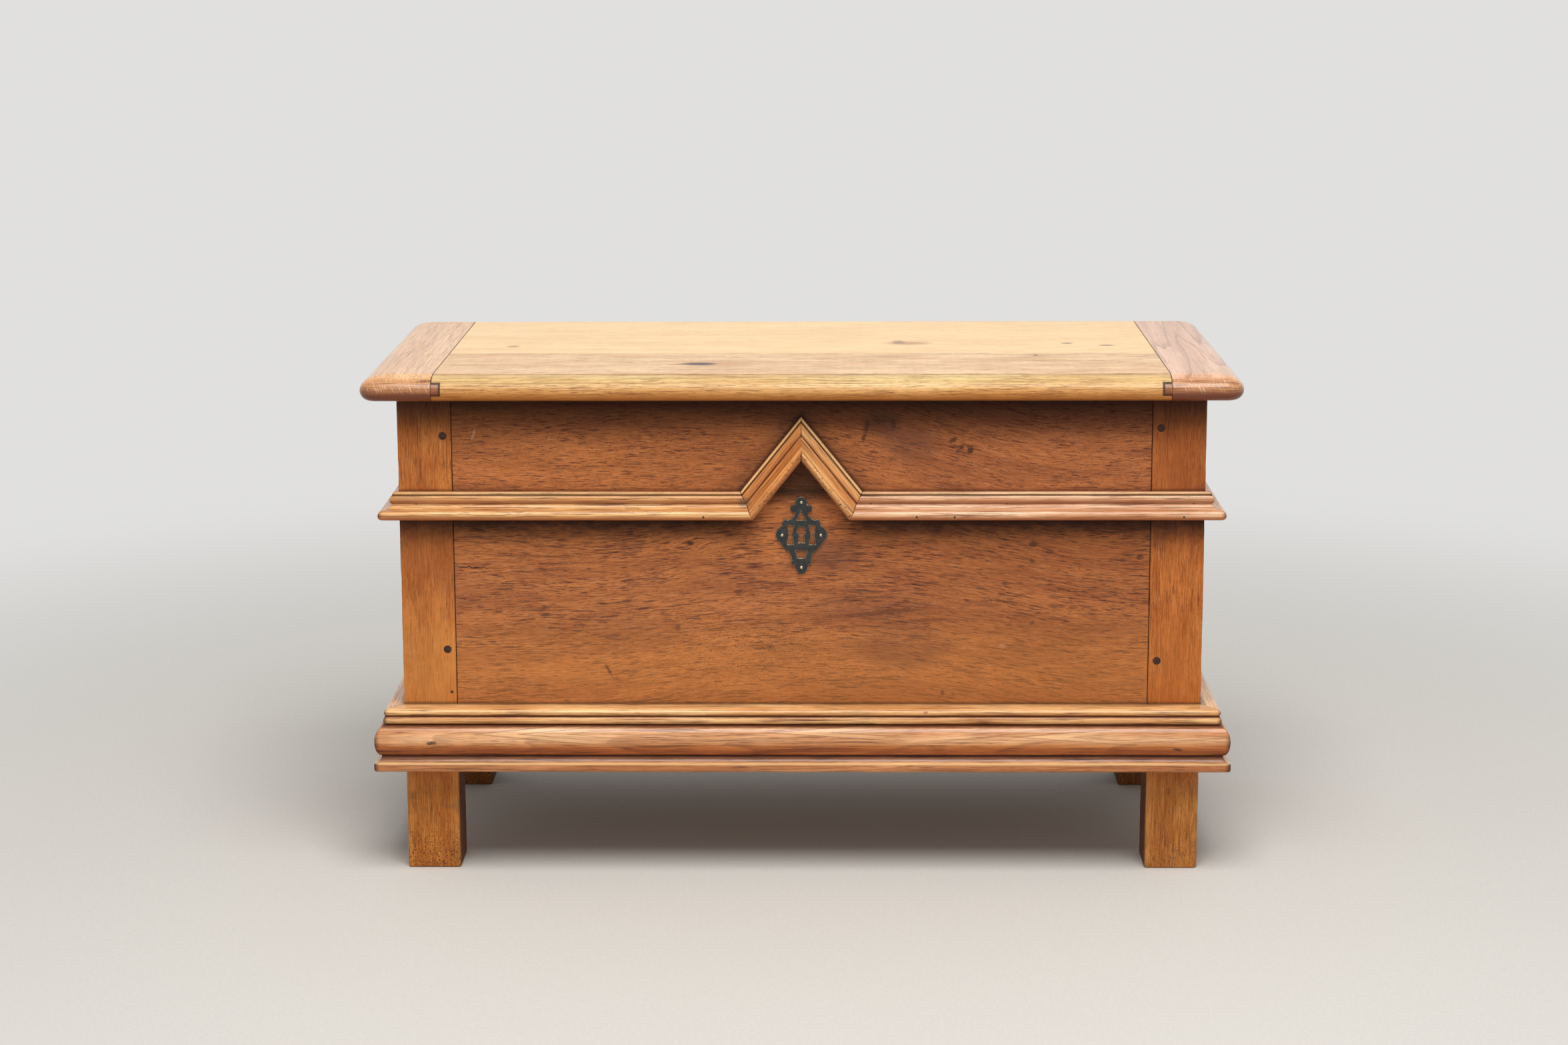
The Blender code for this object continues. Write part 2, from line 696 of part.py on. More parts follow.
def keep_slice(bm, axis, low, high):
    """Saw a solid square across and keep what lies between two places on an axis."""
    for place, side in ((low, -1), (high, 1)):
        if place is None:
            continue
        cut = bmesh.ops.bisect_plane(
            bm,
            geom=bm.verts[:] + bm.edges[:] + bm.faces[:],
            plane_co=axis * place,
            plane_no=axis * side,
            clear_outer=True,
        )
        edges = [item for item in cut["geom_cut"] if isinstance(item, bmesh.types.BMEdge)]
        bmesh.ops.edgeloop_fill(bm, edges=edges)
    return bm


def make_lid(axis):
    """Three long boards, and a breadboard end at each side whose tongue runs in their grooves."""
    joint = LID_WIDTH / 2 - LID_END_WIDTH
    first_seam = -LID_DEPTH / 2 + LID_FRONT_BOARD
    second_seam = (first_seam + LID_DEPTH / 2) / 2
    middle = LID_UNDER + LID_THICKNESS / 2
    slices = {
        "lid_front_board": (None, first_seam - SEAM / 2),
        "lid_middle_board": (first_seam + SEAM / 2, second_seam - SEAM / 2),
        "lid_back_board": (second_seam + SEAM / 2, None),
    }
    for name, (low, high) in slices.items():
        half = joint - SEAM
        panel = keep_slice(lid_slab(), X_AXIS, -half, half)
        board = add_mesh(name, keep_slice(panel, Y_AXIS, low, high), "lid_oak")
        grooves = bmesh.new()
        for side in SIDES.values():
            x_low, x_high = sorted((side * (joint + TONGUE_LENGTH), side * (joint - TONGUE_LENGTH - SEAM)))
            half_groove = TONGUE_THICKNESS / 2 + SEAM
            low_corner = (x_low, -LID_DEPTH, middle - half_groove)
            box(low_corner, (x_high, LID_DEPTH, middle + half_groove), grooves)
        boolean(board, grooves, "DIFFERENCE")
        hang_on(axis, board)
    for hand, side in SIDES.items():
        x_low, x_high = sorted((side * (joint - TONGUE_LENGTH), side * LID_WIDTH))
        end = add_mesh(f"lid_{hand}_end", keep_slice(lid_slab(), X_AXIS, x_low, x_high), "lid_end_oak")
        cheeks = bmesh.new()
        cheek_low, cheek_high = sorted((side * (joint - 2 * TONGUE_LENGTH), side * joint))
        for rise in (-1, 1):
            inner, outer = TONGUE_THICKNESS / 2, LID_THICKNESS
            z_low, z_high = sorted((middle + rise * inner, middle + rise * outer))
            box((cheek_low, -LID_DEPTH, z_low), (cheek_high, LID_DEPTH, z_high), cheeks)
        boolean(end, cheeks, "DIFFERENCE")
        hang_on(axis, end)


# Hinges


def barrel_spans(first):
    """Every other knuckle from the first, as its left and right end across the hinge."""
    starts = [number * KNUCKLE_PITCH - HINGE_WIDTH / 2 for number in range(first, KNUCKLE_COUNT, 2)]
    return [(start, start + KNUCKLE_WIDTH) for start in starts]


def barrels(centre, spans):
    bm = bmesh.new()
    for low, high in spans:
        round_bar(centre + X_AXIS * low, X_AXIS * (high - low), KNUCKLE_RADIUS, HINGE_SIDES, bm)
    return bm


def hinge_bore(centre):
    start = centre - X_AXIS * HINGE_WIDTH
    return round_bar(start, X_AXIS * 2 * HINGE_WIDTH, HINGE_PIN_RADIUS + SEAM, HINGE_SIDES)


def leaf_outline(neck, taper, foot, tabs):
    """A leaf seen flat, as (across, along): tabs up to the barrel, then a taper to a round foot."""
    clear = KNUCKLE_RADIUS + KNUCKLE_GAP + LEAF_LIP
    outline = [(-neck / 2, clear)]
    for low, high in tabs:
        outline += [(low, clear), (low, 0), (high, 0), (high, clear)]
    outline.append((neck / 2, clear))
    for i in range(2 * QUARTER_STEPS + 1):
        turn = math.pi / 2 * i / QUARTER_STEPS
        outline.append((foot / 2 * math.cos(turn), clear + taper + foot / 2 * math.sin(turn)))
    return outline


def make_hinges(axis, back_board):
    """Two forged hinges: a leaf on the back board, a strap under the lid, a pin through their knuckles."""
    seat = KNUCKLE_RADIUS + LEAF_LIP
    leaf_spans, strap_spans = barrel_spans(0), barrel_spans(1)
    leaf_flat = leaf_outline(HINGE_WIDTH + 2 * LEAF_SHOULDER, LEAF_TAPER, LEAF_FOOT_WIDTH, leaf_spans)
    strap_flat = leaf_outline(HINGE_WIDTH, STRAP_TAPER, STRAP_TIP_WIDTH, strap_spans)
    notches = bmesh.new()
    for hand, side in SIDES.items():
        centre = HINGE_AXIS + X_AXIS * side * (CASE_SIDE - POST_WIDTH - HINGE_INSET)
        points = [centre + Vector((across, -seat, -along)) for across, along in leaf_flat]
        leaf = add_mesh(f"{hand}_hinge_leaf", prism(points, Y_AXIS * STRAP_THICKNESS), "black_iron")
        boolean(leaf, barrels(centre, leaf_spans), "UNION")
        boolean(leaf, hinge_bore(centre), "DIFFERENCE")
        points = [centre + Vector((across, -along, seat)) for across, along in strap_flat]
        strap = add_mesh(f"{hand}_hinge_strap", prism(points, Z_AXIS * -STRAP_THICKNESS), "black_iron")
        boolean(strap, barrels(centre, strap_spans), "UNION")
        boolean(strap, hinge_bore(centre), "DIFFERENCE")
        hang_on(axis, strap)
        reach = HINGE_WIDTH / 2 + HINGE_PIN_PROUD
        pin = round_bar(centre - X_AXIS * reach, X_AXIS * 2 * reach, HINGE_PIN_RADIUS, HINGE_SIDES)
        add_mesh(f"{hand}_hinge_pin", pin, "black_iron")
        half = HINGE_WIDTH / 2 + STRAP_SIDE_GAP
        floor = LID_UNDER - STRAP_THICKNESS - 2 * SEAM
        low = (centre.x - half, CASE_BACK - 2 * BOARD_THICKNESS, floor)
        box(low, (centre.x + half, CASE_BACK + BOARD_THICKNESS, LID_UNDER + STRAP_THICKNESS), notches)
    boolean(back_board, notches, "DIFFERENCE")


def main():
    clear_scene()
    make_materials()
    boards = make_case()
    make_bottom()
    make_base()
    make_mid_moulding()
    make_escutcheon(boards["front"])
    axis = add_object("lid_axis", None)
    axis.location = HINGE_AXIS
    make_lid(axis)
    make_hinges(axis, boards["back"])


main()
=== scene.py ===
"""Looks of a joined oak chest: waxed and worn oak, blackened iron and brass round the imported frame."""

import json
import math

import bmesh
import bpy
from mathutils import Matrix, Vector, noise
from mathutils.geometry import intersect_line_plane

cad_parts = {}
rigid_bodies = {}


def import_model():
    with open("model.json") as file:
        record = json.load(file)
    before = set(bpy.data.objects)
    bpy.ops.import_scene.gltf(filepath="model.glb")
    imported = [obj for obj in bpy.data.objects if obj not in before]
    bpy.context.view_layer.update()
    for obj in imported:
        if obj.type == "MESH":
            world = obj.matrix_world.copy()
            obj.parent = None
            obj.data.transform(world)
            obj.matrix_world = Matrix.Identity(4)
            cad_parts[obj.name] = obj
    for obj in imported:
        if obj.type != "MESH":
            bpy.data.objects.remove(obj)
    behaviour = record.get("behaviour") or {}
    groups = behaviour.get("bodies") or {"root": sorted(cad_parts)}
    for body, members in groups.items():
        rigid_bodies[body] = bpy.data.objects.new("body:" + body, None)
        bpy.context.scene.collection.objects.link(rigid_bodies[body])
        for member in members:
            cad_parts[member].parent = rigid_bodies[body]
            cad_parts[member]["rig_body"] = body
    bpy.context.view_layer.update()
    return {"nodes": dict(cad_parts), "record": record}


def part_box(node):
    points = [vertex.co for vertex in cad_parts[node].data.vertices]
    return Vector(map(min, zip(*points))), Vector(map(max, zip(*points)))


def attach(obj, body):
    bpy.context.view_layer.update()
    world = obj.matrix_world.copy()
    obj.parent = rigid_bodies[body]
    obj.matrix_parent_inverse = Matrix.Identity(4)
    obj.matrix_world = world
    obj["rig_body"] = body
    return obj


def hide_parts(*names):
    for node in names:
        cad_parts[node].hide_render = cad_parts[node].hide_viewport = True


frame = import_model()
nodes = frame["nodes"]
slots = {row["node"]: row["material_slot"] for row in frame["record"]["subparts"]}

# Camera of the photograph, in metres and radians
CAMERA_PLACE = (0.0369, -4.1209, 1.2187)
CAMERA_YAW = -0.01502
CAMERA_PITCH = 0.19581
CAMERA_ROLL = -0.00321
CAMERA_LENS = 73.41

# Stage and light
FLOOR_SIZE = 160.0
FLOOR_DROP = 0.0004
FLOOR_COLOUR = (0.62, 0.59, 0.54)
FAR_COLOUR = (0.75, 0.745, 0.735)
FAR_START = 0.8
FAR_END = 2.6
SKY_COLOUR = (0.95, 0.98, 1.0)
SKY_STRENGTH = 0.48
LAMP_PLACE = (0.25, -2.0, 3.85)
LAMP_AIM = (0.0, 0.0, 0.3)
LAMP_SIZE = 2.5
LAMP_POWER = 165.0

# Sizes: most are read from the frame, the rest are given
SEAM = 0.0003
POST_LOW, POST_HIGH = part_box("front_right_post")
BOARD_LOW, BOARD_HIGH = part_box("front_board")
CASE_SIDE = POST_HIGH.x
POST_INNER = POST_LOW.x
POST_DEPTH = POST_HIGH.y - POST_LOW.y
CASE_FRONT = BOARD_LOW.y
CASE_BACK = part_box("back_board")[1].y
CASE_TOP = BOARD_HIGH.z
BOARD_THICKNESS = BOARD_HIGH.y - BOARD_LOW.y
MID_LOW, MID_TOP = (corner.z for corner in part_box("mid_moulding_left"))
BASE_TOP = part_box("base_bead_front")[1].z
TORUS_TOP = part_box("base_torus_front")[1].z
GABLE_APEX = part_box("gable_left")[1].z
FLOOR_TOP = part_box("bottom_board_1")[1].z
GABLE_HALF_WIDTH = 0.0755
LID_LOW = Vector((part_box("lid_left_end")[0].x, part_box("lid_front_board")[0].y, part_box("lid_left_end")[0].z))
LID_HIGH = Vector((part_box("lid_right_end")[1].x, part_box("lid_back_board")[1].y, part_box("lid_left_end")[1].z))
LID_MIDDLE = (LID_LOW + LID_HIGH) / 2
LID_SEAMS = (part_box("lid_front_board")[1].y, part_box("lid_middle_board")[1].y)
LID_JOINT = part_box("lid_front_board")[1].x
STRAP_THICKNESS = 0.003
NOTCH_GAP = 0.001
X_AXIS, Y_AXIS, Z_AXIS = Vector((1, 0, 0)), Vector((0, 1, 0)), Vector((0, 0, 1))
HANDS = {"left": -1, "right": 1}


# Node trees


def add_node(tree, kind, settings=None, inputs=None):
    """Add a node, set it up first, then feed its sockets with values or wires."""
    node = tree.nodes.new(kind)
    for key, value in (settings or {}).items():
        setattr(node, key, value)
    for key, value in (inputs or {}).items():
        if isinstance(value, Wire):
            tree.links.new(value.socket, node.inputs[key])
        else:
            node.inputs[key].default_value = value
    return node


class Wire:
    """An output socket in a node tree. Arithmetic on it adds Math nodes."""

    def __init__(self, tree, socket):
        self.tree = tree
        self.socket = socket

    def node(self, kind, settings=None, inputs=None, output=0):
        return Wire(self.tree, add_node(self.tree, kind, settings, inputs).outputs[output])

    def math(self, operation, first, second=0.0):
        return self.node("ShaderNodeMath", {"operation": operation}, {0: first, 1: second})

    def __add__(self, other):
        return self.math("ADD", self, other)

    __radd__ = __add__

    def __sub__(self, other):
        return self.math("SUBTRACT", self, other)

    def __rsub__(self, other):
        return self.math("SUBTRACT", other, self)

    def __mul__(self, other):
        return self.math("MULTIPLY", self, other)

    __rmul__ = __mul__

    def __truediv__(self, other):
        return self.math("DIVIDE", self, other)

    def __pow__(self, other):
        return self.math("POWER", self, other)

    def __abs__(self):
        return self.math("ABSOLUTE", self)

    def over(self, other):
        return self.math("MAXIMUM", self, other)

    def ramp(self, low, high):
        """A smooth step from nought at low to one at high; low may be the larger."""
        settings = {"interpolation_type": "SMOOTHSTEP"}
        if low < high:
            return self.node("ShaderNodeMapRange", settings, {0: self, 1: low, 2: high})
        return 1 - self.node("ShaderNodeMapRange", settings, {0: self, 1: high, 2: low})

    def mix(self, share, first, second, blend="MIX"):
        """Blend two colours, given as wires or as linear red, green and blue."""
        inputs = {0: share}
        for key, colour in ((6, first), (7, second)):
            inputs[key] = colour if isinstance(colour, Wire) else (*colour, 1)
        return self.node("ShaderNodeMix", {"data_type": "RGBA", "blend_type": blend}, inputs, 2)

    def noise(self, size, seed=0.0, detail=0.0, roughness=0.5):
        """Clouds whose lumps have this size along each axis."""
        scale = tuple(1 / part for part in size)
        shift = (seed, seed * 0.7, seed * 1.3)
        moved = self.node("ShaderNodeVectorMath", {"operation": "MULTIPLY_ADD"}, {0: self, 1: scale, 2: shift})
        inputs = {"Vector": moved, "Scale": 1.0, "Detail": detail, "Roughness": roughness}
        return self.node("ShaderNodeTexNoise", None, inputs)

    def split(self):
        apart = add_node(self.tree, "ShaderNodeSeparateXYZ", None, {0: self})
        return [Wire(self.tree, socket) for socket in apart.outputs]

    def join(self, x, y, z):
        return self.node("ShaderNodeCombineXYZ", None, {0: x, 1: y, 2: z})

    def spot(self, centre, size, turn=0.0):
        """An oval mark, turned about Y: one at its middle, nought at its rim."""
        inputs = {"Vector": self, "Location": centre, "Rotation": (0, turn, 0), "Scale": size}
        local = self.node("ShaderNodeMapping", {"vector_type": "TEXTURE"}, inputs)
        return self.node("ShaderNodeVectorMath", {"operation": "LENGTH"}, {0: local}, 1).ramp(1.0, 0.35)

    def attribute(self, name):
        return self.node("ShaderNodeAttribute", {"attribute_name": name}, None, 2)


def new_material(name):
    """A material and a wire with the place on its piece, in Object coordinates."""
    material = bpy.data.materials.new(name)
    material.use_nodes = True
    start = add_node(material.node_tree, "ShaderNodeTexCoord")
    return material, Wire(material.node_tree, start.outputs["Object"])


def finish(material, colour, roughness, metallic=0.0, height=None, relief=0.0, coat=0.0, shine=0.5):
    """Feed the material's shader. Height is a wire, and relief is what one unit of it stands for in metres."""
    shader = material.node_tree.nodes["Principled BSDF"]
    links = material.node_tree.links
    values = {"Base Color": colour, "Roughness": roughness, "Metallic": metallic, "Coat Weight": coat}
    for key, value in values.items():
        if isinstance(value, Wire):
            links.new(value.socket, shader.inputs[key])
        else:
            shader.inputs[key].default_value = (*value, 1) if key == "Base Color" else value
    shader.inputs["Coat Roughness"].default_value = COAT_ROUGHNESS
    shader.inputs["Specular IOR Level"].default_value = shine
    if height:
        bump = height.node("ShaderNodeBump", None, {"Strength": 1.0, "Distance": relief, "Height": height})
        links.new(bump.socket, shader.inputs["Normal"])


# Camera, floor and light


def make_camera():
    forward = Vector((
        math.sin(CAMERA_YAW) * math.cos(CAMERA_PITCH),
        math.cos(CAMERA_YAW) * math.cos(CAMERA_PITCH),
        -math.sin(CAMERA_PITCH),
    ))
    level = Vector((math.cos(CAMERA_YAW), -math.sin(CAMERA_YAW), 0))
    upright = level.cross(forward)
    right = level * math.cos(CAMERA_ROLL) + upright * math.sin(CAMERA_ROLL)
    up = upright * math.cos(CAMERA_ROLL) - level * math.sin(CAMERA_ROLL)
    data = bpy.data.cameras.new("camera")
    data.lens = CAMERA_LENS
    camera = bpy.data.objects.new("camera", data)
    turn = Matrix((right, up, -forward)).transposed().to_4x4()
    camera.matrix_world = Matrix.Translation(CAMERA_PLACE) @ turn
    bpy.context.scene.collection.objects.link(camera)
    bpy.context.scene.camera = camera


def seen_directly(tree):
    """One for rays from the camera or a mirror, nought for rays that carry light."""
    path = add_node(tree, "ShaderNodeLightPath")
    return Wire(tree, path.outputs["Is Camera Ray"]).over(Wire(tree, path.outputs["Is Glossy Ray"]))


def make_floor():
    half = FLOOR_SIZE / 2
    corners = ((-half, -half), (half, -half), (half, half), (-half, half))
    mesh = bpy.data.meshes.new("floor")
    mesh.from_pydata([(x, y, -FLOOR_DROP) for x, y in corners], [], [(0, 1, 2, 3)])
    floor = bpy.data.objects.new("floor", mesh)
    bpy.context.scene.collection.objects.link(floor)
    material, place = new_material("pale_floor")
    speck = place.noise((0.004,) * 3, 3.0, 3.0)
    colour = place.mix(speck.ramp(0.3, 0.7), tuple(0.95 * part for part in FLOOR_COLOUR), FLOOR_COLOUR)
    finish(material, colour, 0.9)
    tree = material.node_tree
    reach = place.node("ShaderNodeVectorMath", {"operation": "LENGTH"}, {0: place}, 1)
    glow = place.node("ShaderNodeEmission", None, {"Color": (*FAR_COLOUR, 1)})
    shader = Wire(tree, tree.nodes["Principled BSDF"].outputs[0])
    share = reach.ramp(FAR_START, FAR_END) * seen_directly(tree)
    blend = place.node("ShaderNodeMixShader", None, {0: share, 1: shader, 2: glow})
    tree.links.new(blend.socket, tree.nodes["Material Output"].inputs["Surface"])
    mesh.materials.append(material)


def make_light():
    world = bpy.data.worlds.new("sky")
    world.use_nodes = True
    tree = world.node_tree
    seen = seen_directly(tree)
    light = tuple(SKY_STRENGTH * part for part in SKY_COLOUR)
    tree.links.new(seen.mix(seen, light, FAR_COLOUR).socket, tree.nodes["Background"].inputs["Color"])
    bpy.context.scene.world = world
    data = bpy.data.lights.new("soft_lamp", "AREA")
    data.size = LAMP_SIZE
    data.energy = LAMP_POWER
    lamp = bpy.data.objects.new("soft_lamp", data)
    lamp.location = LAMP_PLACE
    lamp.rotation_euler = (Vector(LAMP_AIM) - Vector(LAMP_PLACE)).to_track_quat("-Z", "Y").to_euler()
    bpy.context.scene.collection.objects.link(lamp)


# Oak: how each kind of board looks. Colours are linear, sizes are in metres.

COAT_ROUGHNESS = 0.14
GRAIN_RELIEF = 0.00018
DARK_COVER_LIMIT = 0.1
CALM_SHARE = 0.6
# Grime in joints and cracks, and painted shade in creases and under parts
GRIME_AND_SHADE = (0.030, 0.013, 0.008)
# Dirt with painted shade in the creases and grooves of the mouldings, and painted shade at their corner tips
CREVICE = (0.045, 0.014, 0.010)
GROOVE = (0.095, 0.024, 0.010)
STAIN = (0.150, 0.055, 0.032)
WORN = (0.98, 0.66, 0.32)
RAY = (0.92, 0.62, 0.32)
OAKS = {
    "post": {
        "pale": (0.625, 0.205, 0.044), "deep": (0.46, 0.128, 0.023), "pore": (0.150, 0.040, 0.012),
        "ring": 0.0055, "pith": (0.035, 0.09), "taper": 0.010, "sway": 0.006, "patch": (0.07, 0.030),
        "streak": (0.050, 0.0026), "streaks": 0.5,
        "thread": (0.030, 0.0012), "dash": (0.012, 0.0008), "limit": 0.70, "fibre": 0.5, "fleck": 0.14,
        "bands": 0.15, "arcs": 0.0, "dashes": 0.6, "lines": 0.1, "rays": 0.12, "stain": 0.5,
        "gloss": 0.42, "coat": 0.0, "shine": 0.18, "worn": 0.06, "grime": 0.9,
    },
    "panel": {
        "pale": (0.585, 0.191, 0.052), "deep": (0.43, 0.130, 0.036), "pore": (0.105, 0.032, 0.018),
        "ring": 0.0075, "pith": (0.10, 0.16), "taper": 0.05, "sway": 0.012, "patch": (0.20, 0.024), "streak": (0.030, 0.0019), "streaks": 0.8,
        "thread": (0.022, 0.0010), "dash": (0.013, 0.0008), "limit": 0.69, "fibre": 0.55, "fleck": 0.25,
        "bands": 0.15, "arcs": 0.0, "dashes": 0.9, "lines": 0.2, "rays": 0.05, "stain": 0.25,
        "gloss": 0.46, "coat": 0.0, "shine": 0.18, "worn": 0.15, "grime": 0.9,
    },
    "moulding": {
        "pale": (0.90, 0.505, 0.195), "deep": (0.66, 0.290, 0.085), "pore": (0.140, 0.040, 0.014),
        "ring": 0.0050, "pith": (0.02, 0.05), "taper": 0.03, "sway": 0.008, "patch": (0.16, 0.020), "streak": (0.100, 0.0026), "streaks": 0.7,
        "thread": (0.090, 0.0009), "dash": (0.050, 0.0006), "limit": 0.70, "fibre": 0.45, "fleck": 0.30,
        "bands": 0.15, "arcs": 0.1, "dashes": 0.9, "lines": 0.45, "rays": 0.1, "stain": 0.1,
        "gloss": 0.28, "coat": 0.55, "shine": 0.12, "worn": 0.6, "grime": 0.6,
    },
    "base": {
        "pale": (0.86, 0.440, 0.195), "deep": (0.62, 0.260, 0.095), "pore": (0.130, 0.038, 0.018),
        "ring": 0.0060, "pith": (0.03, 0.06), "taper": 0.04, "sway": 0.010, "patch": (0.20, 0.020), "streak": (0.120, 0.0030), "streaks": 0.65,
        "thread": (0.080, 0.0010), "dash": (0.040, 0.0007), "limit": 0.70, "fibre": 0.4, "fleck": 0.25,
        "bands": 0.25, "arcs": 0.2, "dashes": 0.7, "lines": 0.3, "rays": 0.1, "stain": 0.2,
        "gloss": 0.28, "coat": 0.50, "shine": 0.12, "worn": 0.6, "grime": 0.9,
    },
    "lid": {
        "pale": (0.92, 0.645, 0.330), "deep": (0.88, 0.575, 0.275), "pore": (0.45, 0.205, 0.080),
        "ring": 0.0085, "pith": (0.06, 0.14), "taper": 0.045, "sway": 0.012, "patch": (0.25, 0.040), "streak": (0.200, 0.0040), "streaks": 0.15,
        "thread": (0.050, 0.0016), "dash": (0.022, 0.0008), "limit": 0.72, "fibre": 0.3, "fleck": 0.1,
        "bands": 0.15, "arcs": 0.0, "dashes": 0.4, "lines": 0.2, "rays": 0.05, "stain": 0.05,
        "gloss": 0.30, "coat": 0.0, "shine": 0.25, "worn": 0.4, "grime": 0.9,
    },
    "lid_end": {
        "pale": (0.90, 0.510, 0.236), "deep": (0.77, 0.386, 0.152), "pore": (0.24, 0.085, 0.034),
        "ring": 0.0080, "pith": (0.02, 0.07), "taper": 0.035, "sway": 0.006, "patch": (0.40, 0.020), "streak": (0.250, 0.0030), "streaks": 0.3,
        "thread": (0.14, 0.0014), "dash": (0.06, 0.0007), "limit": 0.70, "fibre": 0.40, "fleck": 0.05,
        "bands": 0.15, "arcs": 0.0, "dashes": 0.7, "lines": 0.5, "rays": 0.1, "stain": 0.0,
        "gloss": 0.26, "coat": 0.45, "shine": 0.20, "worn": 0.3, "grime": 0.9,
    },
    "inner": {
        "pale": (0.44, 0.265, 0.135), "deep": (0.29, 0.155, 0.070), "pore": (0.12, 0.055, 0.025),
        "ring": 0.0080, "pith": (0.05, 0.12), "taper": 0.04, "sway": 0.014, "patch": (0.30, 0.030), "streak": (0.150, 0.0040), "streaks": 0.5,
        "thread": (0.030, 0.0014), "dash": (0.014, 0.0008), "limit": 0.70, "fibre": 0.6, "fleck": 0.3,
        "bands": 0.4, "arcs": 0.3, "dashes": 0.7, "lines": 0.4, "rays": 0.2, "stain": 0.2,
        "gloss": 0.66, "coat": 0.0, "shine": 0.3, "worn": 0.2, "grime": 0.9,
    },
}
GRAIN_AXES = {"X": (0, 2, 1), "X_flat": (0, 1, 2), "Y": (1, 0, 2), "Z": (2, 0, 1)}


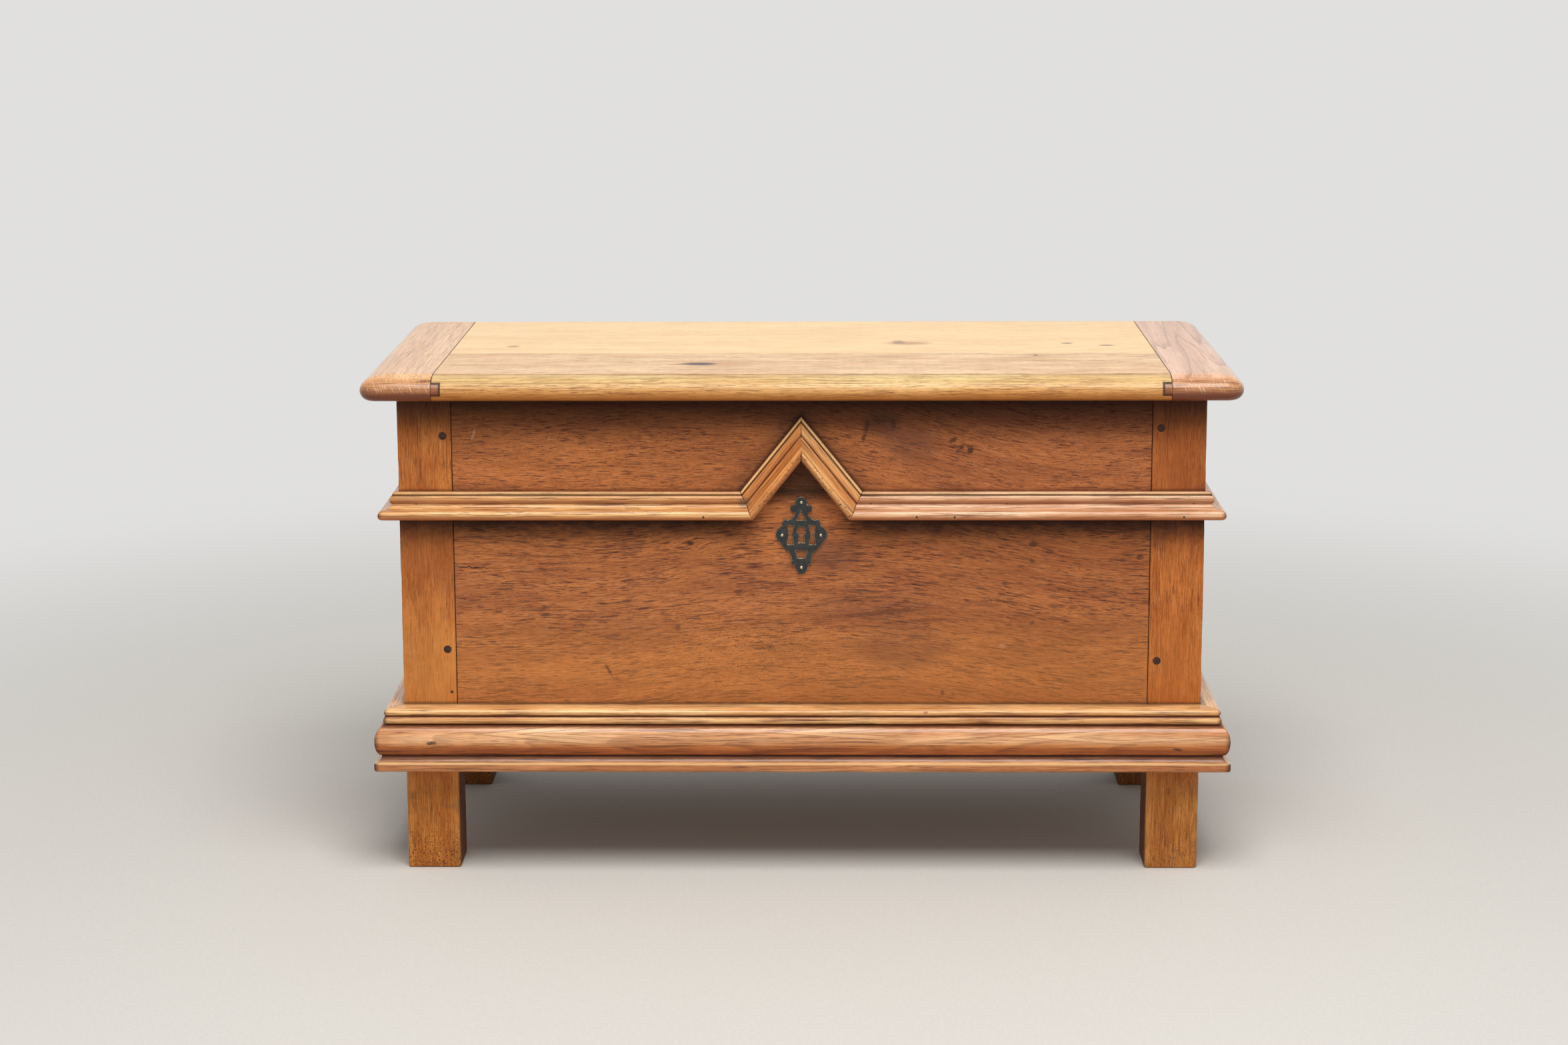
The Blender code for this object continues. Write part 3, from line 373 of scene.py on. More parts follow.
def oak(name, look, along, middle, seed, turn=0.0, bare=None, calm=None,
        knots=(), flows=(), marks=(), tints=(), shades=(), **changes):
    """Waxed oak whose grain runs along one axis, turned from it about Y.

    Knots are (centre, size), flows that lift the grain are (mask, height), marks are
    (centre, size, turn, colour, share), tints, which let the grain through, and shades, which
    cover it, are (mask, colour, share). A mask is made from the place and a fray. Where the
    mask bare reaches, the wood was never waxed, and where the mask calm reaches, its streaks are
    faint. Changes replace values of the look.
    """
    style = OAKS[look] | changes
    material, place = new_material(name)
    inputs = {"Vector": place, "Location": middle, "Rotation": (0, turn, 0)}
    parts = place.node("ShaderNodeMapping", {"vector_type": "TEXTURE"}, inputs).split()
    axis_u, axis_v, axis_w = GRAIN_AXES[along]
    u, v, w = parts[axis_u], parts[axis_v], parts[axis_w]
    for mask, lift in flows:
        v = v - mask(place, 0.5) * lift
    for centre, size in knots:
        away = parts[axis_v] - (centre[axis_v] - middle[axis_v])
        v = v - away * place.spot(centre, size) * 0.75
    grain = place.join(u, v, w)
    sway = (grain.noise((0.30, 0.12, 0.12), seed) - 0.5) * style["sway"]
    ripple = (grain.noise((0.060, 0.020, 0.020), seed + 7, 1.0) - 0.5) * style["sway"] * 0.12
    v = v + sway + ripple
    grain = place.join(u, v, w)

    pith_v, pith_w = style["pith"]
    radius = ((v - pith_v) ** 2 + (w - pith_w - u * style["taper"]) ** 2) ** 0.5
    ring = radius / style["ring"] + grain.noise((0.4, 0.02, 0.02), seed + 3) * 2.0
    year = ring.math("FRACT", ring)
    early = year.ramp(1.0, 0.15)
    arcs = year.ramp(0.30, 0.02) * year.ramp(0.0, 0.02)
    crowd = grain.noise((0.08, 0.03, 0.03), seed + 5, 1.0).ramp(0.35, 0.65)
    limit = style["limit"] - crowd * 0.05 - early * 0.03
    length, width = style["dash"]
    dashes = (grain.noise((length, width, width), seed + 11) - limit).ramp(0.0, 0.10)
    ticks = (grain.noise((length * 0.4, width * 0.7, width * 0.7), seed + 13) - limit).ramp(0.0, 0.10)
    lines = grain.noise((0.13, 0.0010, 0.0010), seed + 37).ramp(0.63, 0.70)
    rays = grain.noise((0.030, 0.0013, 0.012), seed + 17).ramp(0.66, 0.72)

    fray = place.noise((0.014, 0.006, 0.006), seed + 29, 3.0, 0.6)
    pale, deep, pore = style["pale"], style["deep"], style["pore"]
    waxed = 1.0
    if bare:
        dry = bare(place, fray)
        waxed = 1 - dry
        pale, deep, pore = (place.mix(dry, style[key], OAKS["inner"][key]) for key in ("pale", "deep", "pore"))
    patch_length, patch_width = style["patch"]
    cloud = grain.noise((patch_length, patch_width, patch_width), seed + 19, 3.0, 0.6)
    thread_length, thread_width = style["thread"]
    fibre = grain.noise((thread_length, thread_width, thread_width), seed + 23, 3.0, 0.65)
    streak_length, streak_width = style["streak"]
    streak = grain.noise((streak_length, streak_width, streak_width), seed + 43, 2.0, 0.6)
    stain = place.noise((0.06, 0.04, 0.04), seed + 41, 3.0, 0.65).ramp(0.55, 0.75)
    tone = place.mix(cloud.ramp(0.36, 0.64), deep, pale)
    streaked = (0.5 + crowd) * style["streaks"]
    if calm:
        streaked = streaked * (1 - calm(place, fray) * CALM_SHARE)
    tone = place.mix(streak.ramp(0.47, 0.30) * streaked, tone, pore)
    tone = place.mix(fibre.ramp(0.55, 0.28) * style["fibre"], tone, pore)
    tone = place.mix(fibre.ramp(0.50, 0.78) * style["fleck"] * waxed, tone, RAY)
    tone = place.mix(early * style["bands"], tone, deep)
    tone = place.mix(arcs * style["arcs"], tone, pore)
    tone = place.mix(stain * style["stain"], tone, STAIN)
    tone = place.mix(rays * style["rays"] * waxed, tone, RAY)
    tone = place.mix(lines * style["lines"] * 0.8, tone, pore)
    tone = place.mix(ticks * style["dashes"] * 0.7, tone, pore)
    tone = place.mix(dashes * style["dashes"], tone, pore)

    hollow = place.attribute("hollow")
    crest = place.attribute("crest")
    tone = place.mix((crest * (0.35 + fray)).ramp(0.10, 0.55) * style["worn"], tone, WORN)
    # Darker in the profile's hollows: grime with painted shade
    tone = place.mix((hollow * (0.5 + fray)).ramp(0.25, 0.85) * style["grime"], tone, GRIME_AND_SHADE)
    scatter = place.node("ShaderNodeTexNoise", {"normalize": False}, {"Vector": place, "Scale": 220.0}, 1)
    inputs = {0: scatter, 1: (0.0014,) * 3, 2: place}
    frayed = place.node("ShaderNodeVectorMath", {"operation": "MULTIPLY_ADD"}, inputs)
    for mask, colour, share in tints:
        tone = place.mix(mask(place, fray) * share * waxed, tone, colour, "MULTIPLY")
    # Dark covers, painted shade among them, make the wax duller and rougher
    dirt_and_shade = hollow
    for mask, colour, share in shades:
        cover = mask(place, fray) * share * waxed
        tone = place.mix(cover, tone, colour)
        if max(colour) < DARK_COVER_LIMIT:
            dirt_and_shade = dirt_and_shade.over(cover)
    for centre, size, angle, colour, share in marks:
        tone = place.mix(frayed.spot(centre, size, angle) * share, tone, colour)
    height = 1.0 - dashes * 0.6 - ticks * 0.3 - lines * 0.3 + fibre * 0.6
    roughness = style["gloss"] + dashes * 0.2 + (cloud - 0.5) * 0.16 + dirt_and_shade * 0.3 + (1 - waxed) * 0.25
    finish(material, tone, roughness, 0.0, height, GRAIN_RELIEF, (1 - dirt_and_shade) * waxed * style["coat"], style["shine"])
    return material


# Masks by which the oak changes from place to place

FLAME_PITCH = 0.0050
FRAY_SHARE = 0.4
WAXED_SKIN = (0.003, 0.008)
GABLE_SLOPE = (GABLE_APEX - MID_TOP) / GABLE_HALF_WIDTH


def rising(axis, low, high):
    """A fade along an axis, nought at low and one at high."""
    return lambda place, fray: place.split()[axis].ramp(low, high)


def both(first, second):
    return lambda place, fray: first(place, fray) * second(place, fray)


def band(axis, low, high, fade):
    """A soft band across an axis."""
    return both(rising(axis, low - fade, low + fade), rising(axis, high + fade, high - fade))


def pitted(region, limits=(0.69, 0.76)):
    """Small dark pits, as of worm and knocks, over a region."""
    return lambda place, fray: place.noise((0.0028, 0.0028, 0.0020), 7.0, 1.0).ramp(*limits) * region(place, fray)


def sliced(region, size, lean, limits):
    """Streaks of one size over a region, leaning by lean: rings and rays in end grain."""
    def mask(place, fray):
        x, y, z = place.split()
        return place.join(x + z * lean, y, z).noise(size, 3.0, 1.0).ramp(*limits) * region(place, fray)

    return mask


def near(axis, spot, reach):
    """A frayed band on both sides of a plane."""
    return lambda place, fray: (abs(place.split()[axis] - spot) - (fray - 0.5) * reach * FRAY_SHARE).ramp(reach, 0.0)


def near_both(axis, spot, reach):
    """Frayed bands at two planes that mirror each other."""
    def mask(place, fray):
        away = abs(abs(place.split()[axis]) - spot)
        return (away - (fray - 0.5) * reach * FRAY_SHARE).ramp(reach, 0.0)

    return mask


def flame_depth(place, fray, tip, height, spread):
    """How far inside a flame of the grain a place lies: the flame points left and opens to the right."""
    x, _, z = place.split()
    return (x - tip) * spread - abs(z - height) + (fray - 0.5) * 0.0016


def flame_fill(tip, height, spread, length):
    def mask(place, fray):
        fade = place.split()[0].ramp(tip + length, tip + length * 0.4)
        return flame_depth(place, fray, tip, height, spread).ramp(0.0, 0.0012) * fade

    return mask


def flame_lines(tip, height, spread, length):
    """Dark outlines, one inside another, of a flame in flat-sawn grain."""
    def mask(place, fray):
        fade = place.split()[0].ramp(tip + length * 1.2, tip + length * 0.3)
        depth = flame_depth(place, fray, tip, height, spread)
        turns = depth / FLAME_PITCH
        return turns.math("FRACT", turns).ramp(0.35, 0.0) * depth.ramp(-0.0004, 0.0004) * fade

    return mask


def inside_case(place, fray):
    """The dry wood of the chest's inside, which starts under the waxed skin of its outer faces."""
    x, y, z = place.split()
    across = (CASE_SIDE - abs(x)).ramp(*WAXED_SKIN)
    deep = (y - CASE_FRONT).ramp(*WAXED_SKIN) * (CASE_BACK - y).ramp(*WAXED_SKIN)
    return across * deep * z.ramp(FLOOR_TOP - 0.02, FLOOR_TOP)


def under_case(place, fray):
    """The faces of the back legs that look in under the chest, which get painted shade."""
    x, y, z = place.split()
    return (CASE_SIDE - abs(x)).ramp(0.001, 0.004) * (CASE_BACK - y).ramp(0.001, 0.004) * z.ramp(0.15, 0.10)


def below_arm(place):
    """How far a place lies below the top edge of the gable's arms, square to them."""
    x, _, z = place.split()
    return (GABLE_APEX - abs(x) * GABLE_SLOPE - z) * (1 / math.hypot(1, GABLE_SLOPE))


def over_gable(reach):
    """Painted shade in the corner above the gable's arms."""
    def mask(place, fray):
        above = below_arm(place) * -1 - (fray - 0.5) * reach * FRAY_SHARE
        return above.ramp(reach, 0.0) * place.split()[2].ramp(MID_TOP - 0.02, MID_TOP)

    return mask


def along_arm(drop, reach):
    """A frayed line along the gable's arms, this far below their top edge."""
    return lambda place, fray: (abs(below_arm(place) - drop) - (fray - 0.5) * reach * FRAY_SHARE).ramp(reach, 0.0)


def below_moulding(reach):
    """Painted shadow in a strip under the mid moulding, on the straight runs."""
    def mask(place, fray):
        x, _, z = place.split()
        strip = (MID_LOW - z - (fray - 0.5) * reach * 0.5).ramp(reach, 0.0)
        return strip * abs(x).ramp(0.04, 0.09) * z.ramp(MID_TOP, MID_LOW)

    return mask


# Mesh helpers

SMOOTH_ANGLE = math.radians(40)


def loft(loops):
    """Skin closed loops of equally many points, capped at both ends. Each point is (place, hollow, crest)."""
    bm = bmesh.new()
    layers = [bm.verts.layers.float.new(name) for name in ("hollow", "crest")]
    rings = []
    for loop in loops:
        ring = []
        for point, *values in loop:
            vert = bm.verts.new(point)
            for layer, value in zip(layers, values):
                vert[layer] = value
            ring.append(vert)
        rings.append(ring)
    for lower, upper in zip(rings, rings[1:]):
        for i in range(len(lower)):
            bm.faces.new((lower[i - 1], lower[i], upper[i], upper[i - 1]))
    bm.faces.new(rings[0])
    bm.faces.new(rings[-1])
    bmesh.ops.recalc_face_normals(bm, faces=bm.faces)
    return bm


def block(low, high):
    """A plain box, as a cutting tool."""
    bm = bmesh.new()
    size = Vector(high) - Vector(low)
    matrix = Matrix.Translation((Vector(low) + Vector(high)) / 2) @ Matrix.Diagonal((*size, 1))
    bmesh.ops.create_cube(bm, size=1, matrix=matrix)
    return bm


def temporary(name, bm):
    mesh = bpy.data.meshes.new(name)
    bm.to_mesh(mesh)
    bm.free()
    obj = bpy.data.objects.new(name, mesh)
    bpy.context.scene.collection.objects.link(obj)
    return obj


def settle(obj):
    """Turn an object with modifiers into a mesh of its own and remove the object."""
    bpy.context.view_layer.update()
    graph = bpy.context.evaluated_depsgraph_get()
    mesh = bpy.data.meshes.new_from_object(obj.evaluated_get(graph))
    bpy.data.objects.remove(obj)
    return mesh


def carve(bm, tool):
    """Cut one solid out of another."""
    body, cutter = temporary("body", bm), temporary("cutter", tool)
    modifier = body.modifiers.new("carve", "BOOLEAN")
    modifier.operation = "DIFFERENCE"
    modifier.solver = "EXACT"
    modifier.object = cutter
    mesh = settle(body)
    bpy.data.objects.remove(cutter)
    result = bmesh.new()
    result.from_mesh(mesh)
    return result


def add_piece(name, source, material, like, replaced=()):
    """Make a mesh a visible piece on the body of a node, and hide the nodes that it stands for."""
    mesh = source
    if isinstance(source, bmesh.types.BMesh):
        mesh = bpy.data.meshes.new(name)
        source.to_mesh(mesh)
        source.free()
    mesh.name = name
    mesh.shade_smooth()
    mesh.set_sharp_from_angle(angle=SMOOTH_ANGLE)
    mesh.materials.clear()
    mesh.materials.append(material)
    obj = bpy.data.objects.new(name, mesh)
    bpy.context.scene.collection.objects.link(obj)
    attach(obj, nodes[like]["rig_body"])
    if replaced:
        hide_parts(*replaced)


# Sawn bars: posts and boards with eased, worn arrises

ARC_STEPS = 4
EDGE_FADE = ((0.0018, 0.55), (0.0045, 0.2), (0.010, 0.0))
STATION = 0.012
FLAT_WAVE = 0.00025
ARRIS_WEAR = 0.0009


def section(half_a, half_b, radius):
    """A rounded rectangle as (a, b, nearness to an arris), anticlockwise."""
    points = []
    corners = ((1, 1), (-1, 1), (-1, -1), (1, -1))
    ways = ((-1, 0), (0, -1), (1, 0), (0, 1))
    for number, (sign_a, sign_b) in enumerate(corners):
        centre_a, centre_b = sign_a * (half_a - radius), sign_b * (half_b - radius)
        for i in range(ARC_STEPS + 1):
            angle = math.pi / 2 * (number + i / ARC_STEPS)
            points.append((centre_a + radius * math.cos(angle), centre_b + radius * math.sin(angle), 1.0))
        run = 2 * (half_a if number % 2 == 0 else half_b) - 2 * radius
        start_a, start_b, _ = points[-1]
        near_end = [(step, edge) for step, edge in EDGE_FADE if step < run * 0.4]
        far_end = [(run - step, edge) for step, edge in reversed(near_end)]
        for step, edge in near_end + far_end:
            points.append((start_a + ways[number][0] * step, start_b + ways[number][1] * step, edge))
    return points


def stations(length, end_round):
    """Places along a bar as (distance, inset), rounded over at both ends."""
    start = []
    for i in range(ARC_STEPS):
        angle = math.pi / 2 * i / ARC_STEPS
        start.append((end_round * (1 - math.cos(angle)), end_round * (1 - math.sin(angle))))
    count = max(2, round(length / STATION))
    middle = [(end_round + (length - 2 * end_round) * i / count, 0.0) for i in range(count + 1)]
    return start + middle + [(length - distance, inset) for distance, inset in reversed(start)]


def sawn_bar(low, high, along, end_round, seed, radius_at):
    """A bar whose long arrises are worn unevenly."""
    axis_u, axis_a, axis_b = GRAIN_AXES[along]
    middle, half = (low + high) / 2, (high - low) / 2
    loops = []
    for distance, inset in stations(2 * half[axis_u], end_round):
        radius = radius_at(low[axis_u] + distance)
        points = []
        for a, b, edge in section(half[axis_a] - inset, half[axis_b] - inset, radius):
            place = Vector((0, 0, 0))
            place[axis_u] = low[axis_u] + distance
            place[axis_a] = middle[axis_a] + a
            place[axis_b] = middle[axis_b] + b
            wave = noise.noise(place * 22 + Vector((seed, 0, 0))) * 0.5 + 0.5
            bite = max(0.0, noise.noise(place * 60 + Vector((0, seed, 0)))) * edge
            inward = FLAT_WAVE * wave + ARRIS_WEAR * bite
            for axis, part in ((axis_a, a), (axis_b, b)):
                if abs(part) > half[axis] - radius - FLAT_WAVE:
                    place[axis] -= math.copysign(inward, part)
            points.append((place, 0.0, edge * min(1.0, radius / LEG_EDGE)))
        loops.append(points)
    return loft(loops)


DENT = (0.055, 0.020, 0.012)
LEG_EDGE = 0.0040
POST_EDGE = 0.0008
BOARD_EDGE = 0.0004
FOOT_ROUND = 0.002
LEG_STOP = (BOARD_LOW.z, BOARD_LOW.z + 0.012)
GOLDEN = (0.66, 0.260, 0.055)
RUSSET = (0.30, 0.078, 0.018)
PAINTED_SHADOW = (0.020, 0.005, 0.003)
OFF_BACK = rising(1, CASE_BACK - 0.001, CASE_BACK - 0.004)
ON_FRONT = rising(1, CASE_FRONT + 0.004, CASE_FRONT + 0.001)
# Painted shadow of the lid's overhang, with some patina, on the top of the case
UNDER_OVERHANG = (rising(2, CASE_TOP - 0.045, CASE_TOP), PAINTED_SHADOW, 0.55)
# On the posts: painted shadow under the lid and under the mid moulding, and grime with painted shade along the tops of
# the mouldings
POST_SHADES = [
    UNDER_OVERHANG,
    (both(rising(2, CASE_TOP - 0.070, CASE_TOP), ON_FRONT), PAINTED_SHADOW, 0.80),
    (both(below_moulding(0.050), OFF_BACK), GRIME_AND_SHADE, 0.7),
    (both(below_moulding(0.022), OFF_BACK), PAINTED_SHADOW, 0.8),
    (both(near(2, MID_TOP, 0.0045), OFF_BACK), GRIME_AND_SHADE, 0.6),
    (both(near(2, BASE_TOP, 0.004), OFF_BACK), GRIME_AND_SHADE, 0.6),
    (near_both(0, POST_INNER, 0.0014), (0.060, 0.020, 0.010), 0.85),
]
POST_RUSSET = {"left": (0.36, 0.45), "right": (0.43, 0.57)}
LEG_PITS = {"left": 0.8, "right": 0.35}
LEG_PART = rising(2, 0.16, 0.10)
POST_TINT = {"left": (0.99, 1.000, 1.000), "right": (0.96, 0.900, 0.880)}
LEG_TINT = {"left": (0.97, 1.010, 0.780), "right": (0.96, 1.150, 1.060)}
# The golden band low on the left post is painted light, standing for light thrown up from below; on the right post the
# band is a deeper orange
POST_GLOW = {
    "left": (band(2, 0.17, 0.32, 0.06), GOLDEN, 0.45),
    "right": (band(2, 0.17, 0.30, 0.06), (0.46, 0.135, 0.022), 0.5),
}


def post_edge(height):
    share = min(max((height - LEG_STOP[0]) / (LEG_STOP[1] - LEG_STOP[0]), 0.0), 1.0)
    return LEG_EDGE + (POST_EDGE - LEG_EDGE) * share


def make_posts():
    for number, hand in enumerate(HANDS):
        for rank, end in enumerate(("front", "back")):
            node = f"{end}_{hand}_post"
            low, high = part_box(node)
            seed = 31.0 * number + 50.0 * rank
            shades = [(band(2, *POST_RUSSET[hand], 0.05), RUSSET, 0.5), POST_GLOW[hand]] + POST_SHADES
            shades.append((pitted(rising(2, 0.08, 0.01), (0.56, 0.64)), DENT, LEG_PITS[hand]))
            if end == "back":
                # Painted shade on the back legs under the chest
                shades.append((under_case, GRIME_AND_SHADE, 0.5))
            tints = [(rising(2, -CASE_TOP, 0.0), POST_TINT[hand], 1.0), (LEG_PART, LEG_TINT[hand], 1.0)]
            coats = {"tints": tints, "shades": shades}
            material = oak(f"{node}_oak", "post", "Z", (low + high) / 2, seed + 5, 0.0, inside_case, **coats)
            bar = sawn_bar(low, high, "Z", FOOT_ROUND, seed, post_edge)
            add_piece(f"{node}_worn", bar, material, node, [node])


FRONT_KNOTS = (
    ((-0.1386, -0.227, 0.4201), (0.040, 0.05, 0.018)),
)
# Painted shadow of the lid's overhang, with some patina, at the top of the front board
UNDER_LID = (rising(2, CASE_TOP - 0.070, CASE_TOP), PAINTED_SHADOW, 0.97)
UPPER_FIELD = rising(2, MID_LOW, MID_TOP)
LOWER_FIELD = rising(2, MID_TOP, MID_LOW)
FRONT_FLOWS = (
    (both(rising(0, 0.34, -0.06), UPPER_FIELD), 0.060),
    (both(rising(0, 0.43, 0.05), LOWER_FIELD), 0.040),
    (both(rising(0, -0.30, -0.05), LOWER_FIELD), 0.020),
)
SCUFF = (0.62, 0.36, 0.20)
DARK_GRAIN = (0.100, 0.030, 0.018)
FRONT_MARKS = (
    ((-0.4120, -0.227, 0.3895), (0.036, 0.02, 0.0013), 0.045, GRIME_AND_SHADE, 0.95),
    ((-0.1386, -0.227, 0.4201), (0.0075, 0.02, 0.0045), 0.0, DENT, 0.9),
    ((-0.2131, -0.227, 0.4336), (0.0060, 0.02, 0.0035), 0.0, DENT, 0.6),
    ((0.2880, -0.227, 0.4191), (0.0080, 0.02, 0.0050), 0.0, DENT, 0.7),
    ((0.3088, -0.227, 0.4090), (0.0070, 0.02, 0.0048), 0.0, DENT, 0.5),
    ((0.2866, -0.227, 0.3972), (0.0050, 0.02, 0.0038), 0.0, DENT, 0.5),
    ((0.4206, -0.227, 0.4022), (0.0060, 0.02, 0.0050), 0.0, DENT, 0.7),
    ((0.1878, -0.227, 0.5502), (0.0080, 0.02, 0.0040), -0.5, DENT, 0.8),
    ((0.2085, -0.227, 0.5368), (0.0060, 0.02, 0.0050), -0.6, DENT, 0.85),
    ((0.1937, -0.227, 0.5360), (0.0045, 0.02, 0.0040), -0.6, DENT, 0.6),
    ((0.0808, -0.227, 0.5670), (0.0050, 0.02, 0.0120), 0.2, DENT, 0.8),
    ((0.1000, -0.227, 0.5720), (0.0300, 0.02, 0.0240), 0.0, GRIME_AND_SHADE, 0.45),
    ((0.1137, -0.227, 0.5703), (0.0045, 0.02, 0.0110), -0.1, DENT, 0.75),
    ((0.1350, -0.227, 0.5450), (0.0500, 0.02, 0.0320), 0.3, STAIN, 0.5),
    ((0.0771, -0.227, 0.5530), (0.0040, 0.02, 0.0075), 0.4, DENT, 0.75),
    ((0.0955, -0.227, 0.5730), (0.0040, 0.02, 0.0060), 0.2, DENT, 0.65),
    ((0.1985, -0.227, 0.5415), (0.0035, 0.02, 0.0065), 0.6, DENT, 0.65),
    ((0.2081, -0.227, 0.5860), (0.0040, 0.02, 0.0060), 0.3, DENT, 0.7),
    ((0.0350, -0.227, 0.4057), (0.0550, 0.02, 0.0300), 0.0, STAIN, 0.5),
    ((0.0000, -0.227, 0.4298), (0.0330, 0.02, 0.0500), 0.0, (0.200, 0.070, 0.028), 0.6),
    ((-0.1546, -0.227, 0.3120), (0.0050, 0.02, 0.0070), 0.0, DENT, 0.5),
    ((-0.2421, -0.227, 0.2579), (0.0022, 0.02, 0.0120), -0.5, DENT, 0.6),
    ((0.2505, -0.227, 0.2890), (0.0055, 0.02, 0.0060), 0.0, SCUFF, 0.2),
    ((-0.4055, -0.227, 0.5573), (0.0028, 0.02, 0.0100), 0.35, SCUFF, 0.35),
    ((-0.3123, -0.227, 0.5514), (0.0022, 0.02, 0.0070), 0.35, SCUFF, 0.2),
    ((0.2530, -0.227, 0.3683), (0.0050, 0.02, 0.0035), 0.0, DENT, 0.5),
    ((0.2876, -0.227, 0.3181), (0.0045, 0.02, 0.0035), 0.0, DENT, 0.45),
    ((0.1767, -0.227, 0.2280), (0.0040, 0.02, 0.0040), 0.0, DENT, 0.5),
    ((-0.1209, -0.227, 0.5588), (0.0050, 0.02, 0.0040), 0.0, DENT, 0.5),
    ((0.1260, -0.227, 0.2867), (0.0850, 0.02, 0.0420), 0.0, STAIN, 0.32),
    ((0.0750, -0.227, 0.3400), (0.1000, 0.02, 0.0300), -0.08, STAIN, 0.25),
    ((-0.2300, -0.227, 0.3200), (0.0700, 0.02, 0.0260), 0.0, STAIN, 0.18),
    ((0.0950, -0.227, 0.3310), (0.0950, 0.02, 0.0042), -0.09, DARK_GRAIN, 0.5),
    ((0.0580, -0.227, 0.3470), (0.0550, 0.02, 0.0034), -0.12, DARK_GRAIN, 0.4),
    ((0.1500, -0.227, 0.3216), (0.0650, 0.02, 0.0028), -0.05, DARK_GRAIN, 0.4),
    ((0.2250, -0.227, 0.3420), (0.0500, 0.02, 0.0026), 0.05, DARK_GRAIN, 0.35),
    ((-0.0400, -0.227, 0.3690), (0.0500, 0.02, 0.0028), 0.10, DARK_GRAIN, 0.4),
    ((-0.3400, -0.227, 0.4040), (0.0800, 0.02, 0.0024), 0.03, DARK_GRAIN, 0.45),
    ((-0.2900, -0.227, 0.3948), (0.0650, 0.02, 0.0022), -0.02, DARK_GRAIN, 0.4),
    ((-0.2300, -0.227, 0.4170), (0.0550, 0.02, 0.0024), -0.06, DARK_GRAIN, 0.4),
    ((-0.1700, -0.227, 0.4060), (0.0600, 0.02, 0.0022), -0.10, DARK_GRAIN, 0.35),
)
FRONT_TINTS = [
    (both(rising(0, -0.15, 0.30), LOWER_FIELD), (0.88, 0.840, 0.820), 1.0),
    (both(rising(0, 0.0, 0.20), UPPER_FIELD), (0.90, 0.880, 0.980), 1.0),
    (band(2, 0.30, 0.40, 0.04), (0.94, 0.960, 1.050), 1.0),
    (rising(2, 0.27, 0.23), (0.92, 0.900, 0.930), 1.0),
]
# On the front board: painted light on the lower part, painted shadow under the lid and under the mid moulding, painted
# shade above the gable's arms, and grime with painted shade along the mouldings
FRONT_SHADES = [
    (rising(2, 0.36, 0.24), GOLDEN, 0.25),
    (pitted(both(band(0, -0.20, 0.06, 0.12), band(2, 0.24, 0.34, 0.06)), (0.61, 0.69)), DENT, 0.65),
    (pitted(UPPER_FIELD, (0.63, 0.71)), DENT, 0.45),
    UNDER_LID,
    (below_moulding(0.046), GRIME_AND_SHADE, 0.85),
    (below_moulding(0.022), PAINTED_SHADOW, 0.85),
    (over_gable(0.006), GRIME_AND_SHADE, 0.7),
    (over_gable(0.030), GRIME_AND_SHADE, 0.4),
    (near(2, MID_TOP, 0.0055), GRIME_AND_SHADE, 0.5),
    (near(2, BASE_TOP, 0.004), GRIME_AND_SHADE, 0.55),
    (near_both(0, POST_INNER, 0.0016), (0.060, 0.020, 0.010), 0.75),
]
# Painted shadow under the lid, and grime with painted shade along the mouldings
SIDE_SHADES = [UNDER_OVERHANG, (near(2, MID_TOP, 0.006), GRIME_AND_SHADE, 0.5), (near(2, BASE_TOP, 0.004), GRIME_AND_SHADE, 0.5)]
PLAIN_GRAIN = {"stain": 0.15, "bands": 0.35, "arcs": 0.3, "lines": 0.35}


def make_boards():
    """The four boards between the posts, without the tenons that the posts hide."""
    for number, node in enumerate(("front_board", "back_board", "left_side_board", "right_side_board")):
        low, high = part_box(node)
        finish_of_board = PLAIN_GRAIN | {"shades": [UNDER_OVERHANG] if node == "back_board" else SIDE_SHADES}
        if node == "front_board":
            finish_of_board = {
                "knots": FRONT_KNOTS, "flows": FRONT_FLOWS, "marks": FRONT_MARKS,
                "tints": FRONT_TINTS, "shades": FRONT_SHADES, "calm": UPPER_FIELD,
            }
        if number < 2:
            along = "X"
            low.x, high.x = SEAM - POST_INNER, POST_INNER - SEAM
        else:
            along = "Y"
            low.y, high.y = CASE_FRONT + POST_DEPTH + SEAM, CASE_BACK - POST_DEPTH - SEAM
        middle = (low + high) / 2
        seed = 100.0 + 17 * number
        material = oak(f"{node}_oak", "panel", along, middle, seed, 0.0, inside_case, **finish_of_board)
        bar = sawn_bar(low, high, along, BOARD_EDGE, seed, lambda height: BOARD_EDGE)
        if node == "back_board":
            bar = notch_for_straps(bar, low, high)
        add_piece(f"{node}_worn", bar, material, node, [node])


def notch_for_straps(bar, low, high):
    for hand in HANDS:
        strap_low, strap_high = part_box(f"{hand}_hinge_strap")
        corner = (strap_low.x - NOTCH_GAP, low.y - NOTCH_GAP, CASE_TOP - STRAP_THICKNESS - SEAM)
        bar = carve(bar, block(corner, (strap_high.x + NOTCH_GAP, high.y + NOTCH_GAP, LID_HIGH.z)))
    return bar


# Mouldings, as (reach, drop, way to this point). A quarter round leaves level or leaves plumb.

